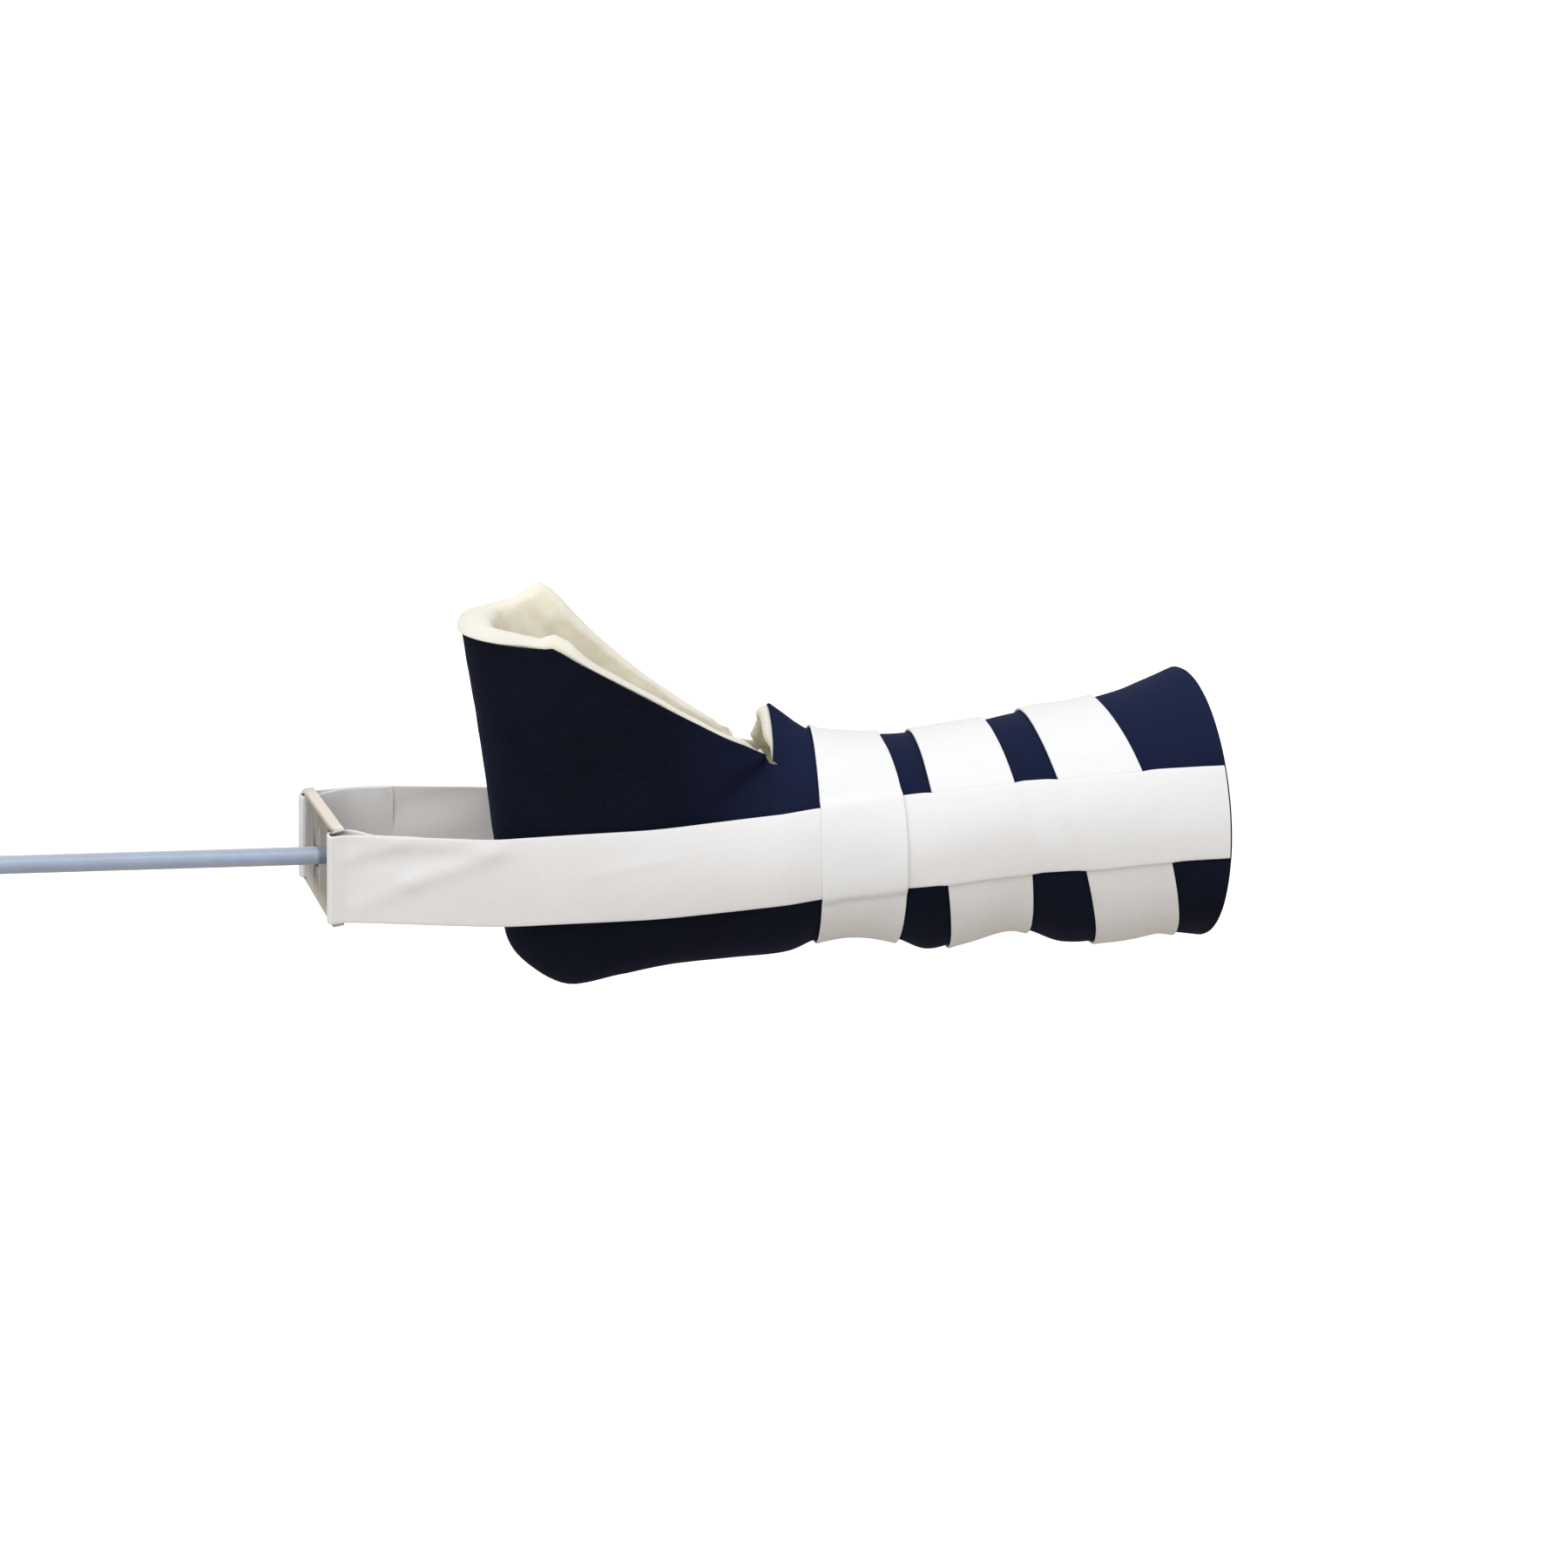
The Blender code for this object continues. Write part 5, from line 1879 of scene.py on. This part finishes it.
@dataclass
class PullCord:
    """The taut cord, the knot behind the plate and the whipped eye at its outer end."""

    diameter: float = 0.011
    knot_diameter: float = 0.024
    knot_length: float = 0.016
    eye_width: float = 0.040
    eye_length: float = 0.052
    whipping: float = 0.022
    overlap: float = 0.0045
    clearance: float = 0.0005
    route: tuple = (
        (-0.1780, 0.0000, 0.0168),
        (-0.2100, 0.0000, 0.0190),
        (-0.2500, 0.0000, 0.0218),
        (-0.3000, 0.0000, 0.0253),
        (-0.3500, 0.0000, 0.0288),
        (-0.3870, 0.0000, 0.0314),
    )

    def build(self, sheath: bpy.types.Material, thread: bpy.types.Material) -> None:
        """Args:
            sheath: the cord's finish.
            thread: the whipping's finish.
        """
        route = np.array(self.route)
        path = refine(route, run_along(route), 8)
        skin = Skin()
        up = np.broadcast_to(np.array([0.0, 0.0, 1.0]), path.shape)
        sweep(skin, path, up, np.full(len(path), self.diameter / 2.0), 32, False)
        cord = skin.piece("pull_cord", sheath)
        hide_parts("traction_cord")
        knot = self.knot(route[0] - route[1], route[0], sheath)
        eye, whipping = self.eye(route[-1] - route[-2], route[-1], sheath, thread)

    def knot(self, ahead: np.ndarray, start: np.ndarray, material: bpy.types.Material) -> bpy.types.Object:
        """A stopper knot: the cord's end wound round itself on a barrel-shaped coil.

        Args:
            ahead: the direction away from the plate.
            start: the cord's end.
            material: its finish.

        Returns:
            The knot.
        """
        ahead = ahead / np.linalg.norm(ahead)
        aside = np.array([0.0, 1.0, 0.0])
        upright = np.cross(ahead, aside)
        strand = self.knot_length * 0.23
        turn = np.linspace(0.0, 1.0, 150)
        angle = turn * 2.0 * math.pi * 2.6
        out = (self.knot_diameter / 2.0 - strand) * (0.50 + 0.50 * np.sin(math.pi * turn))
        along = self.clearance + strand + (self.knot_length - 2.0 * strand) * turn
        spoke = np.cos(angle)[:, None] * aside + np.sin(angle)[:, None] * upright
        path = start + along[:, None] * ahead + out[:, None] * spoke
        skin = Skin()
        ease = smooth_step(np.minimum(turn, 1.0 - turn) * 12.0)
        sweep(skin, path, np.broadcast_to(ahead, path.shape), strand * (0.25 + 0.75 * ease), 18, False)
        made = skin.piece("knot_strand", material)
        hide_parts("stopper_knot")
        return made

    def eye(
        self, ahead: np.ndarray, end: np.ndarray, sheath: bpy.types.Material, thread: bpy.types.Material
    ) -> tuple[bpy.types.Object, bpy.types.Object]:
        """The eye: an oval ring of the cord, and thread wound round its neck in close turns.

        Args:
            ahead: the cord's direction at its end.
            end: the cord's end.
            sheath: the ring's finish.
            thread: the whipping's finish.

        Returns:
            The ring and the whipping.
        """
        ahead = ahead / np.linalg.norm(ahead)
        aside = np.array([0.0, 1.0, 0.0])
        upright = np.cross(ahead, aside)
        start = end + ahead * (self.whipping - self.overlap)
        long_half = (self.eye_length - self.diameter) / 2.0
        wide_half = (self.eye_width - self.diameter) / 2.0
        turn = np.arange(96) * 2.0 * math.pi / 96
        path = start + ahead * (long_half * (1.0 - np.cos(turn)))[:, None]
        path = path + upright * (wide_half * np.sin(turn))[:, None]
        skin = Skin()
        sweep(skin, path, np.broadcast_to(aside, path.shape), np.full(96, self.diameter / 2.0), 28, True)
        ring = skin.piece("eye_ring", sheath)
        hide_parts("pull_eye")
        share = np.linspace(0.0, 1.0, 200)
        along = self.clearance + share * self.whipping
        base = np.interp(share, (0.0, 0.06, 0.15, 0.85, 0.95, 1.0), (0.56, 0.68, 0.72, 0.80, 0.76, 0.62))
        ridges = np.abs(np.sin(share * math.pi * 18.0)) * 0.035
        radius = self.diameter * (base - 0.03 + ridges)
        wound = Skin()
        path = end + ahead * along[:, None]
        sweep(wound, path, np.broadcast_to(aside, path.shape), radius, 32, False)
        whipping = wound.piece("eye_whipping", thread)
        return ring, whipping


# Light and camera


@dataclass(frozen=True)
class Studio:
    """A pale floor and backdrop, soft light from above, and the photograph's view."""

    aim: tuple[float, float, float] = (0.098, 0.0, 0.0345)
    distance: float = 1.0
    azimuth_deg: float = -4.0
    elevation_deg: float = 17.0
    roll_deg: float = 4.2
    lens: float = 37.74
    floor_z: float = -0.42
    floor_reach: float = 4.0
    bend: float = 0.8
    depth: float = 1.6

    def camera(self) -> None:
        """Place the camera: it looks along +Y, turned, raised and rolled a little."""
        angles = (self.azimuth_deg, self.elevation_deg, self.roll_deg)
        a, e, roll = (math.radians(angle) for angle in angles)
        right = np.array([math.cos(a), math.sin(a), 0.0])
        up = np.array([-math.sin(a) * math.sin(e), math.cos(a) * math.sin(e), math.cos(e)])
        back = np.array([math.sin(a) * math.cos(e), -math.cos(a) * math.cos(e), math.sin(e)])
        turned_right = right * math.cos(roll) - up * math.sin(roll)
        turned_up = up * math.cos(roll) + right * math.sin(roll)
        data = bpy.data.cameras.new("view")
        data.lens = self.lens
        data.sensor_width = 36.0
        data.clip_start = 0.05
        data.clip_end = 30.0
        made = place_object("view", data)
        axes = Matrix(np.stack([turned_right, turned_up, back], axis=1).tolist())
        spot = Vector(np.array(self.aim) + self.distance * back)
        made.matrix_world = Matrix.LocRotScale(spot, axes, None)
        bpy.context.scene.camera = made

    def panel(self, name: str, place: tuple, target: tuple, size: tuple[float, float], power: float) -> None:
        """Add a soft light.

        Args:
            name: its name.
            place: where it hangs.
            target: what it faces.
            size: its width and height.
            power: its strength in watts.
        """
        data = bpy.data.lights.new(name, "AREA")
        data.shape = "RECTANGLE"
        data.size, data.size_y = size
        data.energy = power
        made = place_object(name, data)
        made.location = place
        away = Vector(place) - Vector(target)
        made.rotation_mode = "QUATERNION"
        made.rotation_quaternion = away.to_track_quat("Z", "Y")

    def floor(self) -> None:
        """A pale floor that curves up into a backdrop: a quarter circle between two planes.

        It glows to the camera alone, so that it is white and lights nothing.
        """
        reach, bend, depth = self.floor_reach, self.bend, self.depth
        turn = np.linspace(0.0, math.pi / 2.0, 24)
        y = np.concatenate([[-reach], depth + bend * np.sin(turn), [depth + bend]])
        z = np.concatenate([[0.0], bend - bend * np.cos(turn), [reach]]) + self.floor_z
        x = np.linspace(-reach, reach, 9)
        grid = np.stack(np.broadcast_arrays(x[:, None], y[None], z[None]), axis=2)
        mesh = bpy.data.meshes.new("pale_floor")
        mesh.from_pydata(grid.reshape(-1, 3).tolist(), [], grid_quads(numbered(grid.shape[:2])).tolist())
        mesh.shade_smooth()
        paint, bench, shader, _ = start_material("pale_floor")
        paint.cycles.emission_sampling = "NONE"
        glow = bench.maths("MULTIPLY", self.seen(bench), 0.75)
        bench.fill(shader, {"Base Color": (0.44, 0.40, 0.35, 1.0), "Roughness": 0.9})
        bench.fill(shader, {"Emission Color": (1.0, 1.0, 1.0, 1.0), "Emission Strength": glow})
        mesh.materials.append(paint)
        place_object("pale_floor", mesh)

    @staticmethod
    def seen(bench: NodeBench) -> bpy.types.NodeSocket:
        """Whether the camera itself sees a place, and not light on its way."""
        return bench.add("ShaderNodeLightPath").outputs["Is Camera Ray"]

    def build(self) -> None:
        """Set up the camera, the lights, the world and the floor."""
        self.camera()
        self.floor()
        self.panel("overhead", (-0.3, -1.0, 1.7), (-0.05, 0.0, 0.0), (2.0, 1.4), 13.0)
        self.panel("front_fill", (-0.9, -2.2, 0.9), (0.0, 0.0, 0.0), (1.8, 1.4), 3.0)
        self.panel("backdrop_wash", (0.0, 1.0, 1.2), (0.0, 2.4, 0.9), (3.0, 1.0), 50.0)
        world = bpy.data.worlds.new("soft_room")
        world.use_nodes = True
        bench = NodeBench(world.node_tree)
        strength = bench.maths("MULTIPLY_ADD", self.seen(bench), 0.25, 0.84)
        room = {"Color": (0.97, 0.98, 1.0, 1.0), "Strength": strength}
        bench.fill(world.node_tree.nodes["Background"], room)
        bpy.context.scene.world = world
        bpy.context.scene.view_settings.view_transform = "Standard"


def main() -> None:
    """Build the studio and the boot's pieces in order."""
    logging.basicConfig(level=logging.INFO, format="%(name)s: %(message)s", stream=sys.stdout, force=True)
    Studio().build()
    library = EffectLibrary()
    boot = Boot(WrapSurface(BootForm()))
    boot.build_shell(NAVY.make(library))
    boot.build_lining(CREAM.make(library))
    plate = PlateForm()
    Harness(boot, plate).build(STRAP_WHITE.make(library), SIDE_WHITE.make(library))
    SpreaderPlate(plate).build(STEEL.make(library))
    PullCord().build(CORD_SHEATH.make(library), WHIPPING.make(library))


if __name__ == "__main__":
    main()
